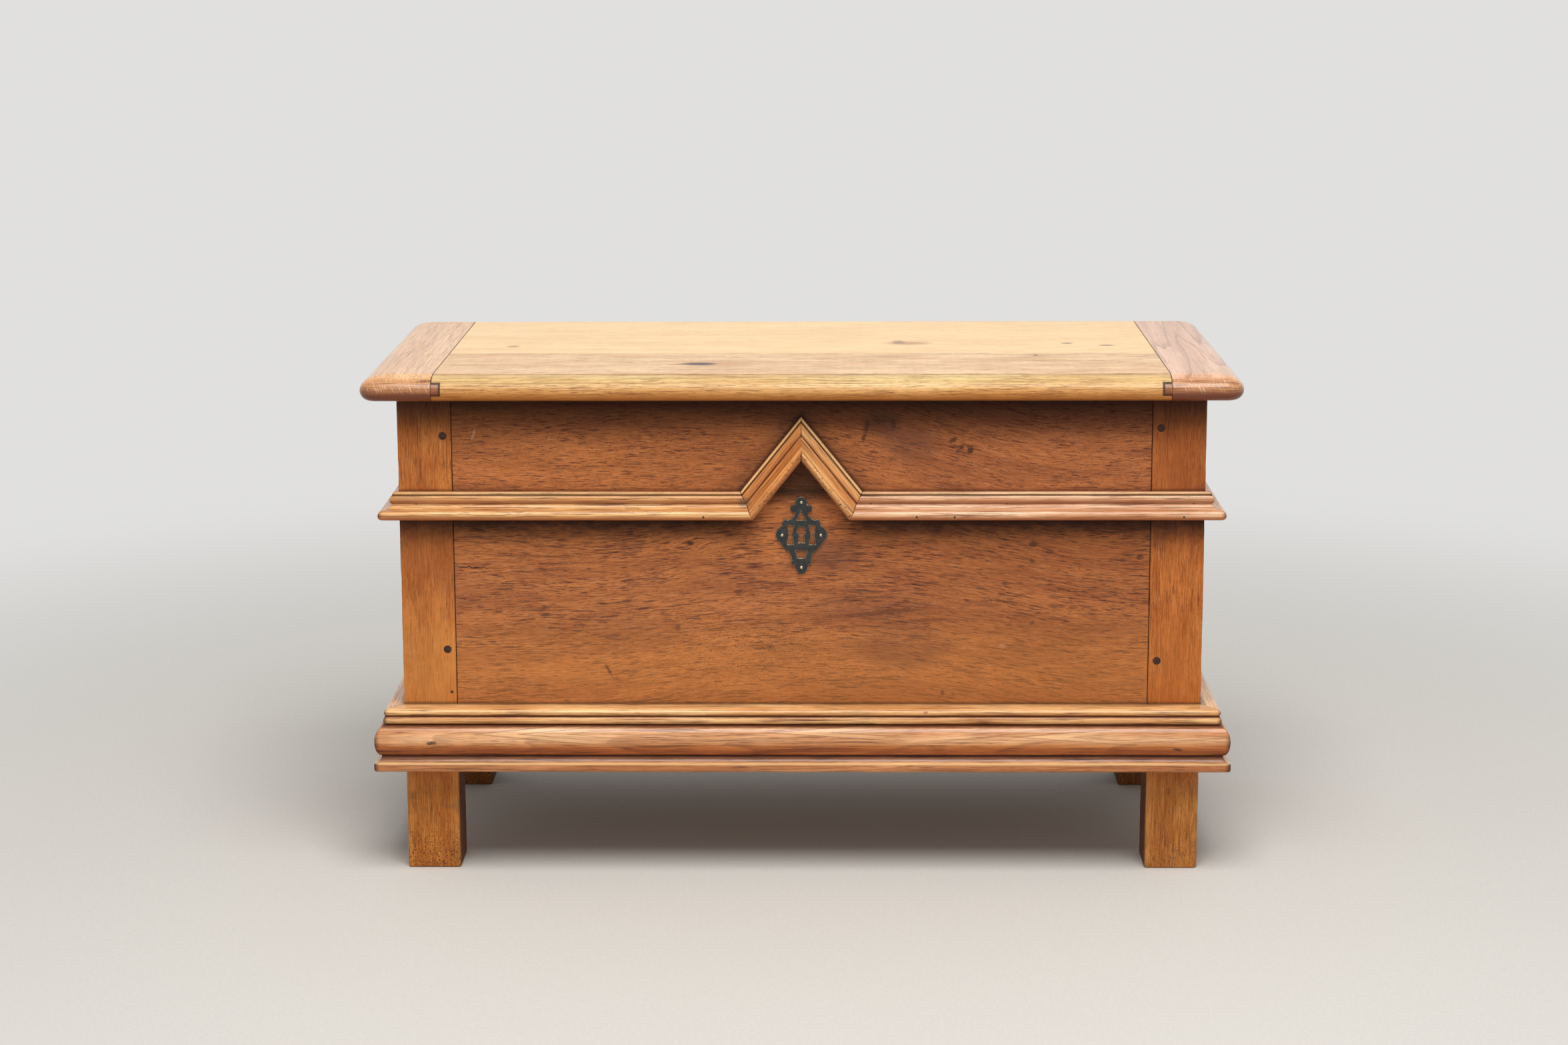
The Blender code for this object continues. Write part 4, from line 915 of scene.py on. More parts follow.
QUARTER_STEPS = 10
LINE_STEP = 0.003
MID_PROFILE = (
    (0.0003, 0.0000, "line"),
    (0.0050, 0.0000, "line"),
    (0.0070, 0.0020, "level"),
    (0.0050, 0.0040, "plumb"),
    (0.0063, 0.0040, "line"),
    (0.0103, 0.0091, "level"),
    (0.0083, 0.0142, "plumb"),
    (0.0188, 0.0212, "plumb"),
    (0.0240, 0.0273, "level"),
    (0.0188, 0.0334, "plumb"),
    (0.0003, 0.0334, "line"),
)
BEAD_PROFILE = (
    (0.0003, 0.0000, "line"),
    (0.0135, 0.0014, "line"),
    (0.0230, 0.0062, "level"),
    (0.0194, 0.0110, "plumb"),
    (0.0240, 0.0165, "level"),
    (0.0194, 0.0220, "plumb"),
    (0.0003, 0.0220, "line"),
)
TORUS_PROFILE = (
    (0.0003, 0.0000, "line"),
    (0.0218, 0.0000, "line"),
    (0.0345, 0.0188, "level"),
    (0.0264, 0.0376, "plumb"),
    (0.0352, 0.0470, "plumb"),
    (0.0352, 0.0540, "line"),
    (0.0312, 0.0580, "plumb"),
    (0.0003, 0.0580, "line"),
)
LID_EDGE = (
    (0.0160, 0.0000, "line"),
    (0.0120, 0.0000, "line"),
    (0.0000, 0.0125, "level"),
    (0.0270, 0.0301, "plumb"),
    (0.0279, 0.0310, "line"),
    (0.0310, 0.0310, "line"),
)
BEND_REACH = 0.0011
MITRE_EASE = 0.0002
MITRE_REACH = 0.0009
MITRE_STEPS = (0.0, 0.0006, 0.0016)
MOULDING_STATION = 0.007
SQUARE_CUT = 0.99
MOULDING_WAVE = 0.00028
MOULDING_WEAR = 0.0006


def profile_points(path):
    """Points of a profile: straight lines, and quarter rounds that leave level or leave plumb."""
    points = [Vector(path[0][:2])]
    for across, along, how in path[1:]:
        start, step = points[-1], Vector((across, along)) - points[-1]
        count = QUARTER_STEPS if how != "line" else math.ceil(step.length / LINE_STEP)
        for i in range(1, count + 1):
            turn = math.pi / 2 * i / count
            share = (math.sin(turn), 1 - math.cos(turn))
            if how == "plumb":
                share = share[::-1]
            if how == "line":
                share = (i / count, i / count)
            points.append(start + Vector((step.x * share[0], step.y * share[1])))
    return points


def bends(points):
    """For each point of a profile its outward normal, how hollow and how proud the wood is round it."""
    result = []
    for i, point in enumerate(points):
        before = next((p for p in reversed(points[:i]) if (p - point).length >= BEND_REACH), points[0])
        after = next((p for p in points[i + 1:] if (p - point).length >= BEND_REACH), points[-1])
        first, second, chord = point - before, after - point, after - before
        bend = math.atan2(first.cross(second), first.dot(second)) / (math.pi / 2)
        facing = Vector((chord.y, -chord.x)).normalized()
        result.append((facing, min(max(0.0, -bend), 1.0), min(max(0.0, bend), 1.0)))
    return result


def moulding(profile, top_point, axes, planes, seed):
    """Sweep a profile along a straight line between two mitre planes, with hand-planed waves."""
    along, out, up = axes
    points = profile_points(profile)
    spans = []
    for reach, drop in points:
        line = top_point + out * reach - up * drop
        ends = []
        for (point, normal), step in zip(planes, (1, -1)):
            facing = normal if normal.dot(along) > 0 else -normal
            ends.append(intersect_line_plane(line, line + along, point + facing * step * SEAM / 2, facing))
        spans.append(ends)
    length = max((end - start).length for start, end in spans)
    count = round(length / MOULDING_STATION)
    shares = [step / length for step in MITRE_STEPS]
    shares += [i / count for i in range(1, count)]
    shares += [1 - step / length for step in reversed(MITRE_STEPS)]
    mitred = [abs(normal.dot(along)) < SQUARE_CUT for _, normal in planes]
    loops = []
    for share in shares:
        ease = max(is_mitre * (1 - way * length / MITRE_REACH) for is_mitre, way in zip(mitred, (share, 1 - share)))
        ease = max(0.0, ease)
        loop = []
        for (start, end), (normal, hollow, crest) in zip(spans, bends(points)):
            place = start.lerp(end, share)
            wave = noise.noise(place * 26 + Vector((seed, seed, 0))) * 0.5 + 0.5
            bite = max(0.0, noise.noise(place * 75 + Vector((0, seed, 0)))) * crest
            inward = MOULDING_WAVE * wave + MOULDING_WEAR * bite + MITRE_EASE * ease
            place -= (out * normal.x - up * normal.y) * inward
            loop.append((place, max(hollow, 0.8 * ease), crest * (1 - ease)))
        loops.append(loop)
    return loft(loops)


def at_corner(out, reach):
    """The tip where a front run and a side run meet, this far out from the case, where the side run's shade is painted.
    """
    return both(near_both(0, CASE_SIDE + out, reach), near(1, CASE_FRONT - out, reach))


def corner_mitre(side):
    return Vector((side * CASE_SIDE, CASE_FRONT, 0)), Vector((1, side, 0)).normalized()


TORUS_MIDDLE, TORUS_FOOT, STRIP_TOP = (TORUS_TOP - drop for drop in (0.0188, 0.0376, 0.0470))
BEAD_GROOVE = BASE_TOP - 0.0110
# Grime with painted shade in the bead's grooves, and painted shade at its corner tips
BEAD_SHADES = [
    (near(2, BEAD_GROOVE - 0.0004, 0.0029), GROOVE, 0.92),
    (near(2, TORUS_TOP, 0.0028), GROOVE, 0.92),
    (near(2, BASE_TOP, 0.0012), CREVICE, 0.7),
    (at_corner(0.0245, 0.0080), CREVICE, 0.9),
]
BEAD_TINTS = [
    (near(2, BEAD_GROOVE, 0.0055), (1.00, 0.830, 0.690), 1.0),
    (near(2, TORUS_TOP, 0.0050), (1.00, 0.830, 0.690), 1.0),
]
TORUS_TINTS = [
    # A painted pinkish sheen across the torus's middle
    (band(2, TORUS_MIDDLE - 0.003, TORUS_MIDDLE + 0.009, 0.004), (1.06, 1.140, 1.300), 1.0),
    (rising(2, TORUS_MIDDLE + 0.010, TORUS_MIDDLE + 0.014), (0.88, 0.880, 0.900), 1.0),
    (band(2, TORUS_FOOT, TORUS_MIDDLE - 0.003, 0.006), (0.96, 0.740, 0.480), 1.0),
    (band(2, TORUS_FOOT, TORUS_MIDDLE - 0.006, 0.006), (0.62, 0.420, 0.260), 1.0),
    # Painted shade in the cove under the torus
    (band(2, STRIP_TOP + 0.002, TORUS_FOOT, 0.002), (0.45, 0.360, 0.360), 1.0),
    (rising(2, STRIP_TOP + 0.001, STRIP_TOP - 0.001), (0.80, 0.660, 0.560), 1.0),
]
# Grime with painted shade in the torus's creases, and painted shade at its corner tips
TORUS_SHADES = [
    (near(2, STRIP_TOP, 0.0016), WORN, 0.5),
    (near(2, TORUS_TOP, 0.0036), GROOVE, 0.95),
    (near(2, TORUS_FOOT, 0.0036), CREVICE, 0.95),
    (at_corner(0.0355, 0.0090), CREVICE, 0.9),
]
FLAMES = ((-0.4150, 0.1830, 0.085, 0.22), (0.2600, 0.1800, 0.070, 0.16), (-0.0500, 0.1850, 0.060, 0.20))
TORUS_FIGURE = [row for flame in FLAMES for row in (
    (flame_fill(*flame), (0.95, 0.600, 0.300), 0.42),
    (flame_lines(*flame), (0.20, 0.066, 0.030), 0.75),
)]
TORUS_MARKS = (
    ((-0.4630, -0.26, 0.1716), (0.0085, 0.03, 0.0030), -0.15, DENT, 0.85),
    ((0.4687, -0.26, 0.1640), (0.0080, 0.03, 0.0030), 0.10, DENT, 0.85),
)
# Painted shade at the corner tips, and grime with painted shade in the creases and under the nose
MID_SHADES = [
    (at_corner(0.0245, 0.0080), CREVICE, 0.9),
    (near(2, MID_LOW, 0.0026), CREVICE, 0.75),
    (band(2, MID_LOW - 0.02, MID_LOW + 0.005, 0.002), (0.46, 0.130, 0.030), 0.8),
    (near(2, MID_TOP, 0.0016), (0.34, 0.110, 0.040), 0.3),
    (near(2, MID_TOP - 0.0041, 0.0013), GRIME_AND_SHADE, 0.75),
    (near(2, MID_TOP - 0.0118, 0.0034), (0.38, 0.122, 0.045), 0.75),
    (near(2, MID_TOP - 0.0140, 0.0012), GRIME_AND_SHADE, 0.3),
    (near(2, MID_TOP - 0.0215, 0.0022), (0.36, 0.120, 0.044), 0.4),
]
ARM_FOOT = along_arm(0.0320, 0.0075)
# Grime with painted shade in the creases along the gable's arms
ARM_SHADES = [
    (along_arm(0.0014, 0.0016), WORN, 0.4),
    (along_arm(0.0041, 0.0014), GRIME_AND_SHADE, 0.8),
    (along_arm(0.0143, 0.0018), GRIME_AND_SHADE, 0.75),
    (ARM_FOOT, (0.32, 0.090, 0.022), 0.65),
    (pitted(along_arm(0.0290, 0.0070), (0.60, 0.68)), DENT, 0.85),
]
VALLEY_DUST = ((-0.0705, -0.24, 0.4735), (0.011, 0.03, 0.009), 0.0, (0.17, 0.095, 0.055), 0.75)
MOULDING_CHANGES = {
    "gable_left": {
        "pale": (0.98, 0.430, 0.110), "deep": (0.66, 0.215, 0.044), "shades": ARM_SHADES, "marks": (VALLEY_DUST,),
    },
    "gable_right": {"pale": (0.94, 0.480, 0.175), "deep": (0.66, 0.255, 0.072), "shades": ARM_SHADES},
    "base_bead_front": {
        "pale": (0.95, 0.570, 0.245), "deep": (0.73, 0.345, 0.118),
        "marks": (((0.1550, -0.24, 0.2085), (0.0045, 0.03, 0.0025), 0.0, (0.30, 0.095, 0.030), 0.8),),
    },
    "base_torus_front": {"shades": TORUS_FIGURE + TORUS_SHADES, "marks": TORUS_MARKS},
    "mid_moulding_left": {
        "shades": MID_SHADES, "marks": (VALLEY_DUST,), "lines": 0.8, "streaks": 0.9,
        "knots": (((-0.385, -0.24, 0.466), (0.060, 0.05, 0.014)), ((-0.180, -0.24, 0.470), (0.050, 0.05, 0.012))),
    },
    "mid_moulding_right": {
        "pale": (0.88, 0.530, 0.310), "deep": (0.64, 0.300, 0.145), "fibre": 0.45, "lines": 0.3, "shades": MID_SHADES,
    },
}


def add_moulding(node, look, profile, top_point, axes, planes, seed, turn=0.0):
    low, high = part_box(node)
    along = "Y" if abs(axes[0].y) > 0.5 else "X"
    changes = {}
    if profile == BEAD_PROFILE:
        changes = {"tints": BEAD_TINTS, "shades": BEAD_SHADES}
    if profile == TORUS_PROFILE:
        changes = {"tints": TORUS_TINTS, "shades": TORUS_SHADES}
    changes |= MOULDING_CHANGES.get(node, {})
    material = oak(f"{node}_oak", look, along, (low + high) / 2, seed, turn, **changes)
    add_piece(f"{node}_run", moulding(profile, top_point, axes, planes, seed), material, node, [node])


def add_side_moulding(node, look, profile, top, side, seed):
    back = (Vector((0, CASE_BACK, 0)), Y_AXIS)
    axes = (Y_AXIS, X_AXIS * side, Z_AXIS)
    point = Vector((side * CASE_SIDE, 0, top))
    add_moulding(node, look, profile, point, axes, (corner_mitre(side), back), seed)


def make_mouldings():
    """Base strips round three sides, and a mid moulding whose front runs turn up into a gable."""
    strips = (("base_bead", "moulding", BEAD_PROFILE, BASE_TOP), ("base_torus", "base", TORUS_PROFILE, TORUS_TOP))
    seed = 200.0
    for name, look, profile, top in strips:
        axes, ends = (X_AXIS, -Y_AXIS, Z_AXIS), (corner_mitre(-1), corner_mitre(1))
        add_moulding(f"{name}_front", look, profile, Vector((0, CASE_FRONT, top)), axes, ends, seed)
        for hand, side in HANDS.items():
            seed += 13
            add_side_moulding(f"{name}_{hand}", look, profile, top, side, seed)
        seed += 13
    apex = (Vector((0, CASE_FRONT, GABLE_APEX)), X_AXIS)
    for hand, side in HANDS.items():
        valley = Vector((side * GABLE_HALF_WIDTH, CASE_FRONT, MID_TOP))
        inward = X_AXIS * -side
        climb = (apex[0] - valley).normalized()
        square = Y_AXIS.cross(climb) * side
        mitre = (valley, (inward + climb).normalized())
        turn = side * math.atan2(climb.z, abs(climb.x))
        axes, planes = (inward, -Y_AXIS, Z_AXIS), (corner_mitre(side), mitre)
        add_moulding(f"mid_moulding_{hand}", "moulding", MID_PROFILE, valley, axes, planes, seed)
        axes, planes = (climb, -Y_AXIS, square), (mitre, apex)
        add_moulding(f"gable_{hand}", "moulding", MID_PROFILE, valley, axes, planes, seed + 7, turn)
        add_side_moulding(f"mid_moulding_{hand}_side", "moulding", MID_PROFILE, MID_TOP, side, seed + 11)
        seed += 20


# Lid

BROWN = (0.27, 0.090, 0.034)
LID_CORNER = 0.022
LID_INNER_CORNER = 0.001
LID_CORNER_STEPS = 9
LID_STATION = 0.02
LID_WAVE = 0.0004
LID_NOSE = 0.027
TONGUE_LENGTH = 0.010
TONGUE_THICKNESS = 0.0135
NOSE_TINTS = [
    (rising(1, LID_LOW.y + LID_NOSE, LID_LOW.y + LID_NOSE - 0.002), (0.81, 0.850, 0.690), 1.0),
    (rising(2, LID_HIGH.z - 0.004, LID_LOW.z + 0.008), (0.99, 0.670, 0.470), 1.0),
]
BOARD_LINES = [
    (near(1, LID_LOW.y + LID_NOSE, 0.0022), (0.16, 0.060, 0.020), 0.65),
    (near_both(0, LID_JOINT, 0.0014), GRIME_AND_SHADE, 0.85),
    (near(1, LID_SEAMS[0], 0.0012), GRIME_AND_SHADE, 0.15),
    (near(1, LID_SEAMS[1], 0.0012), GRIME_AND_SHADE, 0.1),
    (rising(2, LID_LOW.z + 0.014, LID_LOW.z + 0.001), (0.50, 0.152, 0.013), 0.7),
    (rising(2, LID_LOW.z + 0.004, LID_LOW.z), (0.090, 0.028, 0.010), 0.8),
]
TONGUE_RIM = 0.0016
TONGUE_REST = LID_JOINT - TONGUE_LENGTH - TONGUE_RIM
TONGUE_REACH = TONGUE_THICKNESS / 2 + TONGUE_RIM
BESIDE_TONGUE = band(2, LID_MIDDLE.z - TONGUE_REACH, LID_MIDDLE.z + TONGUE_REACH, 0.0003)
BOARD_LINES += [
    (both(BESIDE_TONGUE, rising(0, side * (TONGUE_REST - 0.0003), side * TONGUE_REST)), GRIME_AND_SHADE, 0.85)
    for side in HANDS.values()
]
LID_UNDERSIDE = rising(2, LID_LOW.z + 0.0010, LID_LOW.z + 0.0004)
END_NOSE = both(rising(1, LID_LOW.y + 0.016, LID_LOW.y + 0.007), rising(2, LID_HIGH.z, LID_HIGH.z - 0.004))
ON_TONGUE = both(rising(0, LID_JOINT, LID_JOINT - 0.0003), rising(0, -LID_JOINT, -LID_JOINT + 0.0003))
END_LINES = [
    (END_NOSE, (0.50, 0.230, 0.094), 0.92),
    (sliced(END_NOSE, (0.034, 1.0, 0.0010), 0.0, (0.48, 0.66)), (0.16, 0.048, 0.018), 0.8),
    (sliced(END_NOSE, (0.0012, 1.0, 0.0120), 0.45, (0.60, 0.68)), (0.90, 0.600, 0.360), 0.55),
    (near_both(0, LID_JOINT, 0.0014), GRIME_AND_SHADE, 0.85),
    (ON_TONGUE, BROWN, 0.75),
    (both(ON_TONGUE, near(2, LID_MIDDLE.z + TONGUE_THICKNESS / 2, 0.0022)), GRIME_AND_SHADE, 0.9),
    (both(ON_TONGUE, near(2, LID_MIDDLE.z - TONGUE_THICKNESS / 2, 0.0022)), GRIME_AND_SHADE, 0.9),
    (both(ON_TONGUE, near_both(0, LID_JOINT - TONGUE_LENGTH, 0.0022)), GRIME_AND_SHADE, 0.9),
    (rising(2, LID_LOW.z + 0.020, LID_LOW.z + 0.006), (0.165, 0.030, 0.007), 0.95),
]
LID_CHANGES = {
    "lid_front_board": {
        "pale": (0.93, 0.640, 0.360), "deep": (0.82, 0.500, 0.245), "pore": (0.22, 0.080, 0.028),
        "fibre": 0.55, "fleck": 0.2, "dashes": 0.9, "lines": 0.6, "bands": 0.15, "arcs": 0.15,
        "thread": (0.050, 0.0009), "dash": (0.024, 0.0005), "limit": 0.69,
        "knots": (((-0.131, -0.157, 0.63), (0.080, 0.030, 0.02)),),
        "marks": (
            ((-0.105, -0.157, 0.635), (0.060, 0.034, 0.02), 0.0, (0.52, 0.250, 0.105), 0.6),
            ((-0.131, -0.157, 0.635), (0.030, 0.0165, 0.02), 0.0, (0.070, 0.018, 0.010), 0.97),
            ((-0.125, -0.158, 0.635), (0.024, 0.0140, 0.02), 0.0, (0.030, 0.008, 0.005), 0.97),
            ((0.2968, -0.0847, 0.635), (0.004, 0.010, 0.02), 0.0, DENT, 0.7),
        ),
    },
    "lid_middle_board": {
        "marks": (
            ((0.1383, 0.0259, 0.635), (0.040, 0.022, 0.02), 0.0, (0.46, 0.215, 0.090), 0.75),
            ((0.1250, 0.0360, 0.635), (0.012, 0.022, 0.02), 0.0, (0.20, 0.080, 0.034), 0.6),
            ((0.3445, 0.0243, 0.635), (0.011, 0.008, 0.02), 0.0, DENT, 0.75),
            ((0.3950, 0.0053, 0.635), (0.014, 0.008, 0.02), 0.0, DENT, 0.75),
            ((-0.3765, -0.0010, 0.635), (0.012, 0.014, 0.02), 0.0, (0.30, 0.130, 0.050), 0.6),
        ),
    },
    "lid_right_end": {
        "pale": (0.84, 0.482, 0.298), "deep": (0.67, 0.342, 0.190), "ring": 0.018, "sway": 0.016, "taper": 0.06,
        "arcs": 0.5, "lines": 0.2, "dashes": 0.4,
    },
}


def lid_loop(inset, rise):
    """A level loop round the lid with round corners and many points along its sides."""
    half = (LID_HIGH - LID_LOW) / 2
    radius = max(LID_CORNER - inset, LID_INNER_CORNER)
    centres = [Vector((x * (half.x - inset - radius), y * (half.y - inset - radius), 0)) for x, y in ((1, 1), (-1, 1), (-1, -1), (1, -1))]
    points = []
    for number, centre in enumerate(centres):
        for i in range(LID_CORNER_STEPS + 1):
            angle = math.pi / 2 * (number + i / LID_CORNER_STEPS)
            facing = Vector((math.cos(angle), math.sin(angle), 0))
            points.append((centre + facing * radius, facing))
        start, facing = points[-1]
        end = centres[(number + 1) % 4] + facing * radius
        count = round((half.x if number % 2 == 0 else half.y) * 2 / LID_STATION)
        points += [(start.lerp(end, i / count), facing) for i in range(1, count)]
    loop = []
    for point, facing in points:
        place = point + Vector((LID_MIDDLE.x, LID_MIDDLE.y, LID_LOW.z + rise))
        wave = noise.noise(place * 20) * 0.5 + 0.5
        loop.append((place - facing * LID_WAVE * wave, 0.0, 0.0))
    return loop


def keep_slice(bm, axis, low, high):
    """Saw a solid square across and keep what lies between two places on an axis."""
    for place, side in ((low, -1), (high, 1)):
        if place is None:
            continue
        geometry = bm.verts[:] + bm.edges[:] + bm.faces[:]
        cut = bmesh.ops.bisect_plane(bm, geom=geometry, plane_co=axis * place, plane_no=axis * side, clear_outer=True)
        edges = [item for item in cut["geom_cut"] if isinstance(item, bmesh.types.BMEdge)]
        bmesh.ops.edgeloop_fill(bm, edges=edges)
    return bm


def across_lid(first_x, last_x, first_z, last_z):
    """A tool that runs the whole depth of the lid between two places along it and two heights."""
    low = (min(first_x, last_x), 2 * LID_LOW.y, min(first_z, last_z))
    return block(low, (max(first_x, last_x), 2 * LID_HIGH.y, max(first_z, last_z)))


def make_lid():
    """Three long boards, and a breadboard end at each side whose tongue runs in their grooves."""
    slices = {
        "lid_front_board": (None, LID_SEAMS[0]),
        "lid_middle_board": (LID_SEAMS[0] + SEAM, LID_SEAMS[1]),
        "lid_back_board": (LID_SEAMS[1] + SEAM, None),
    }
    joint = LID_JOINT + SEAM
    loops = [lid_loop(inset, rise) for inset, rise in profile_points(LID_EDGE)]
    for number, (node, (low, high)) in enumerate(slices.items()):
        board = keep_slice(keep_slice(loft(loops), X_AXIS, -LID_JOINT, LID_JOINT), Y_AXIS, low, high)
        half = TONGUE_THICKNESS / 2 + SEAM
        for side in HANDS.values():
            ends = (side * (joint + TONGUE_LENGTH), side * (joint - TONGUE_LENGTH - SEAM))
            board = carve(board, across_lid(*ends, LID_MIDDLE.z - half, LID_MIDDLE.z + half))
        box_low, box_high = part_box(node)
        changes = dict(LID_CHANGES.get(node, {}))
        middle, seed = (box_low + box_high) / 2, 300.0 + 19 * number
        changes |= {"tints": NOSE_TINTS, "shades": BOARD_LINES}
        material = oak(f"{node}_oak", "lid", "X_flat", middle, seed, 0.0, LID_UNDERSIDE, **changes)
        add_piece(f"{node}_worn", board, material, node, [node])
    for number, (hand, side) in enumerate(HANDS.items()):
        node = f"lid_{hand}_end"
        x_low, x_high = sorted((side * (joint - TONGUE_LENGTH), side * 2 * LID_HIGH.x))
        end = keep_slice(loft(loops), X_AXIS, x_low, x_high)
        for rise in (-TONGUE_THICKNESS, TONGUE_THICKNESS):
            cheek = (side * (joint - 2 * TONGUE_LENGTH), side * joint, LID_MIDDLE.z + rise / 2, LID_MIDDLE.z + rise * 2)
            end = carve(end, across_lid(*cheek))
        box_low, box_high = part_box(node)
        changes = dict(LID_CHANGES.get(node, {}))
        middle, seed = (box_low + box_high) / 2, 400.0 + 23 * number
        changes |= {"shades": END_LINES}
        material = oak(f"{node}_oak", "lid_end", "Y", middle, seed, 0.0, LID_UNDERSIDE, **changes)
        add_piece(f"{node}_worn", end, material, node, [node])


# Iron, brass and pegs

RIM_BEVEL = 0.0005
HINGE_BEVEL = 0.0005


def iron(name):
    """Blackened iron, rubbed bright along its edges."""
    material, place = new_material(name)
    mottle = place.noise((0.004,) * 3, 1.0, 4.0, 0.6)
    fine = place.noise((0.0012,) * 3, 5.0, 2.0)
    rubbed = (place.attribute("crest") * (mottle * 0.8 + fine * 0.5)).ramp(0.45, 0.75)
    colour = place.mix(mottle.ramp(0.35, 0.7), (0.009, 0.011, 0.010), (0.026, 0.028, 0.025))
    colour = place.mix(rubbed * 0.85, colour, (0.46, 0.36, 0.20))
    finish(material, colour, 0.52 - mottle * 0.15 - rubbed * 0.1, rubbed * 0.8, mottle * 0.7 + fine * 0.3, 0.0005)
    return material


def brass():
    material, place = new_material("worn_brass")
    fine = place.noise((0.0015,) * 3, 2.0, 3.0)
    colour = place.mix(fine.ramp(0.35, 0.7), (0.42, 0.36, 0.25), (0.72, 0.68, 0.56))
    finish(material, colour, 0.30 + fine * 0.15, 1.0, fine, 0.0002)
    return material


def peg_wood():
    """End grain gone nearly black with wax and dirt."""
    material, place = new_material("peg_end_grain")
    fine = place.noise((0.0012,) * 3, 4.0, 3.0, 0.6)
    colour = place.mix(fine.ramp(0.4, 0.75), (0.032, 0.016, 0.011), (0.110, 0.050, 0.026))
    finish(material, colour, 0.55 + fine * 0.15, 0.0, fine, 0.0004, 0.0, 0.2)
    return material


def rubbed_copy(node, bevel):
    """A copy of a forged CAD piece with eased edges, marked where rubbing takes the black off."""
    bm = bmesh.new()
    bm.from_mesh(nodes[node].data)
    bmesh.ops.remove_doubles(bm, verts=bm.verts, dist=1e-6)
    bmesh.ops.dissolve_limit(bm, angle_limit=math.radians(1), verts=bm.verts, edges=bm.edges)
    obj = temporary(node, bm)
    for _ in range(2):
        obj.data.materials.append(None)
    modifier = obj.modifiers.new("eased", "BEVEL")
    modifier.material = 1
    modifier.use_clamp_overlap = False
    modifier.width = bevel
    modifier.segments = 2
    modifier.limit_method = "ANGLE"
    modifier.angle_limit = math.radians(35)
    result = bmesh.new()
    result.from_mesh(settle(obj))
    crest = result.faces.layers.float.new("crest")
    for face in result.faces:
        face[crest] = float(face.material_index)
        face.material_index = 0
    return result


def make_iron():
    plate = rubbed_copy("escutcheon", RIM_BEVEL)
    add_piece("escutcheon_plate", plate, iron("escutcheon_iron"), "escutcheon", ["escutcheon"])
    hinge_iron = iron("hinge_iron")
    for hand in HANDS:
        for part in ("leaf", "strap"):
            node = f"{hand}_hinge_{part}"
            add_piece(f"{node}_forged", rubbed_copy(node, HINGE_BEVEL), hinge_iron, node, [node])
        pin = nodes[f"{hand}_hinge_pin"]
        pin.data.materials.clear()
        pin.data.materials.append(hinge_iron)


# Studs: pegs, pins and nails set by points that say which way each one faces


def stud_tree(name, is_peg):
    """Geometry nodes that set an uneven peg, or a domed head, on every point."""
    tree = bpy.data.node_groups.new(name, "GeometryNodeTree")
    tree.interface.new_socket("Points", in_out="INPUT", socket_type="NodeSocketGeometry")
    for title in ("Radius", "Rise", "Length", "Unevenness"):
        tree.interface.new_socket(title, in_out="INPUT", socket_type="NodeSocketFloat")
    tree.interface.new_socket("Seed", in_out="INPUT", socket_type="NodeSocketInt")
    tree.interface.new_socket("Finish", in_out="INPUT", socket_type="NodeSocketMaterial")
    tree.interface.new_socket("Studs", in_out="OUTPUT", socket_type="NodeSocketGeometry")
    given = {socket.name: Wire(tree, socket) for socket in tree.nodes.new("NodeGroupInput").outputs if socket.name}
    radius, rise, length = given["Radius"], given["Rise"], given["Length"]
    place = radius.node("GeometryNodeInputPosition")
    x, y, z = place.split()
    noise_inputs = {"Vector": place, "W": given["Seed"], "Scale": 260.0}
    lump = place.node("ShaderNodeTexNoise", {"noise_dimensions": "4D"}, noise_inputs)
    swell = (lump - 0.5) * given["Unevenness"]
    if is_peg:
        sizes = {"Vertices": 14, "Fill Segments": 3, "Radius": radius, "Depth": length}
        body = radius.node("GeometryNodeMeshCylinder", None, sizes)
        change = {"Geometry": body, "Translation": radius.join(0.0, 0.0, length * -0.5)}
        lift = (1 - (x * x + y * y) / (radius * radius)) * rise * z.math("GREATER_THAN", z, length * -0.5)
    else:
        body = radius.node("GeometryNodeMeshUVSphere", None, {"Segments": 14, "Rings": 8, "Radius": radius})
        change = {"Geometry": body, "Scale": radius.join(1.0, 1.0, rise / radius)}
        lift = z * swell
    body = radius.node("GeometryNodeTransform", None, change)
    offset = radius.join(x * swell, y * swell, lift)
    body = radius.node("GeometryNodeSetPosition", None, {"Geometry": body, "Offset": offset})
    facing = radius.node("GeometryNodeInputNamedAttribute", {"data_type": "FLOAT_VECTOR"}, {"Name": "facing"})
    size = radius.node("GeometryNodeInputNamedAttribute", {"data_type": "FLOAT"}, {"Name": "size"})
    spin_inputs = {2: 0.0, 3: math.tau, "Seed": given["Seed"]}
    spin = radius.node("FunctionNodeRandomValue", {"data_type": "FLOAT"}, spin_inputs, 1)
    turn = radius.node("FunctionNodeAlignRotationToVector", {"axis": "Z"}, {"Vector": facing})
    about = radius.node("FunctionNodeAxisAngleToRotation", None, {"Axis": (0, 0, 1), "Angle": spin})
    turn = radius.node("FunctionNodeRotateRotation", {"rotation_space": "LOCAL"}, {0: turn, 1: about})
    spread = {"Points": given["Points"], "Instance": body, "Rotation": turn, "Scale": size}
    studs = radius.node("GeometryNodeInstanceOnPoints", None, spread)
    studs = radius.node("GeometryNodeRealizeInstances", None, {"Geometry": studs})
    studs = radius.node("GeometryNodeSetMaterial", None, {"Geometry": studs, "Material": given["Finish"]})
    tree.links.new(studs.socket, tree.nodes.new("NodeGroupOutput").inputs["Studs"])
    return tree


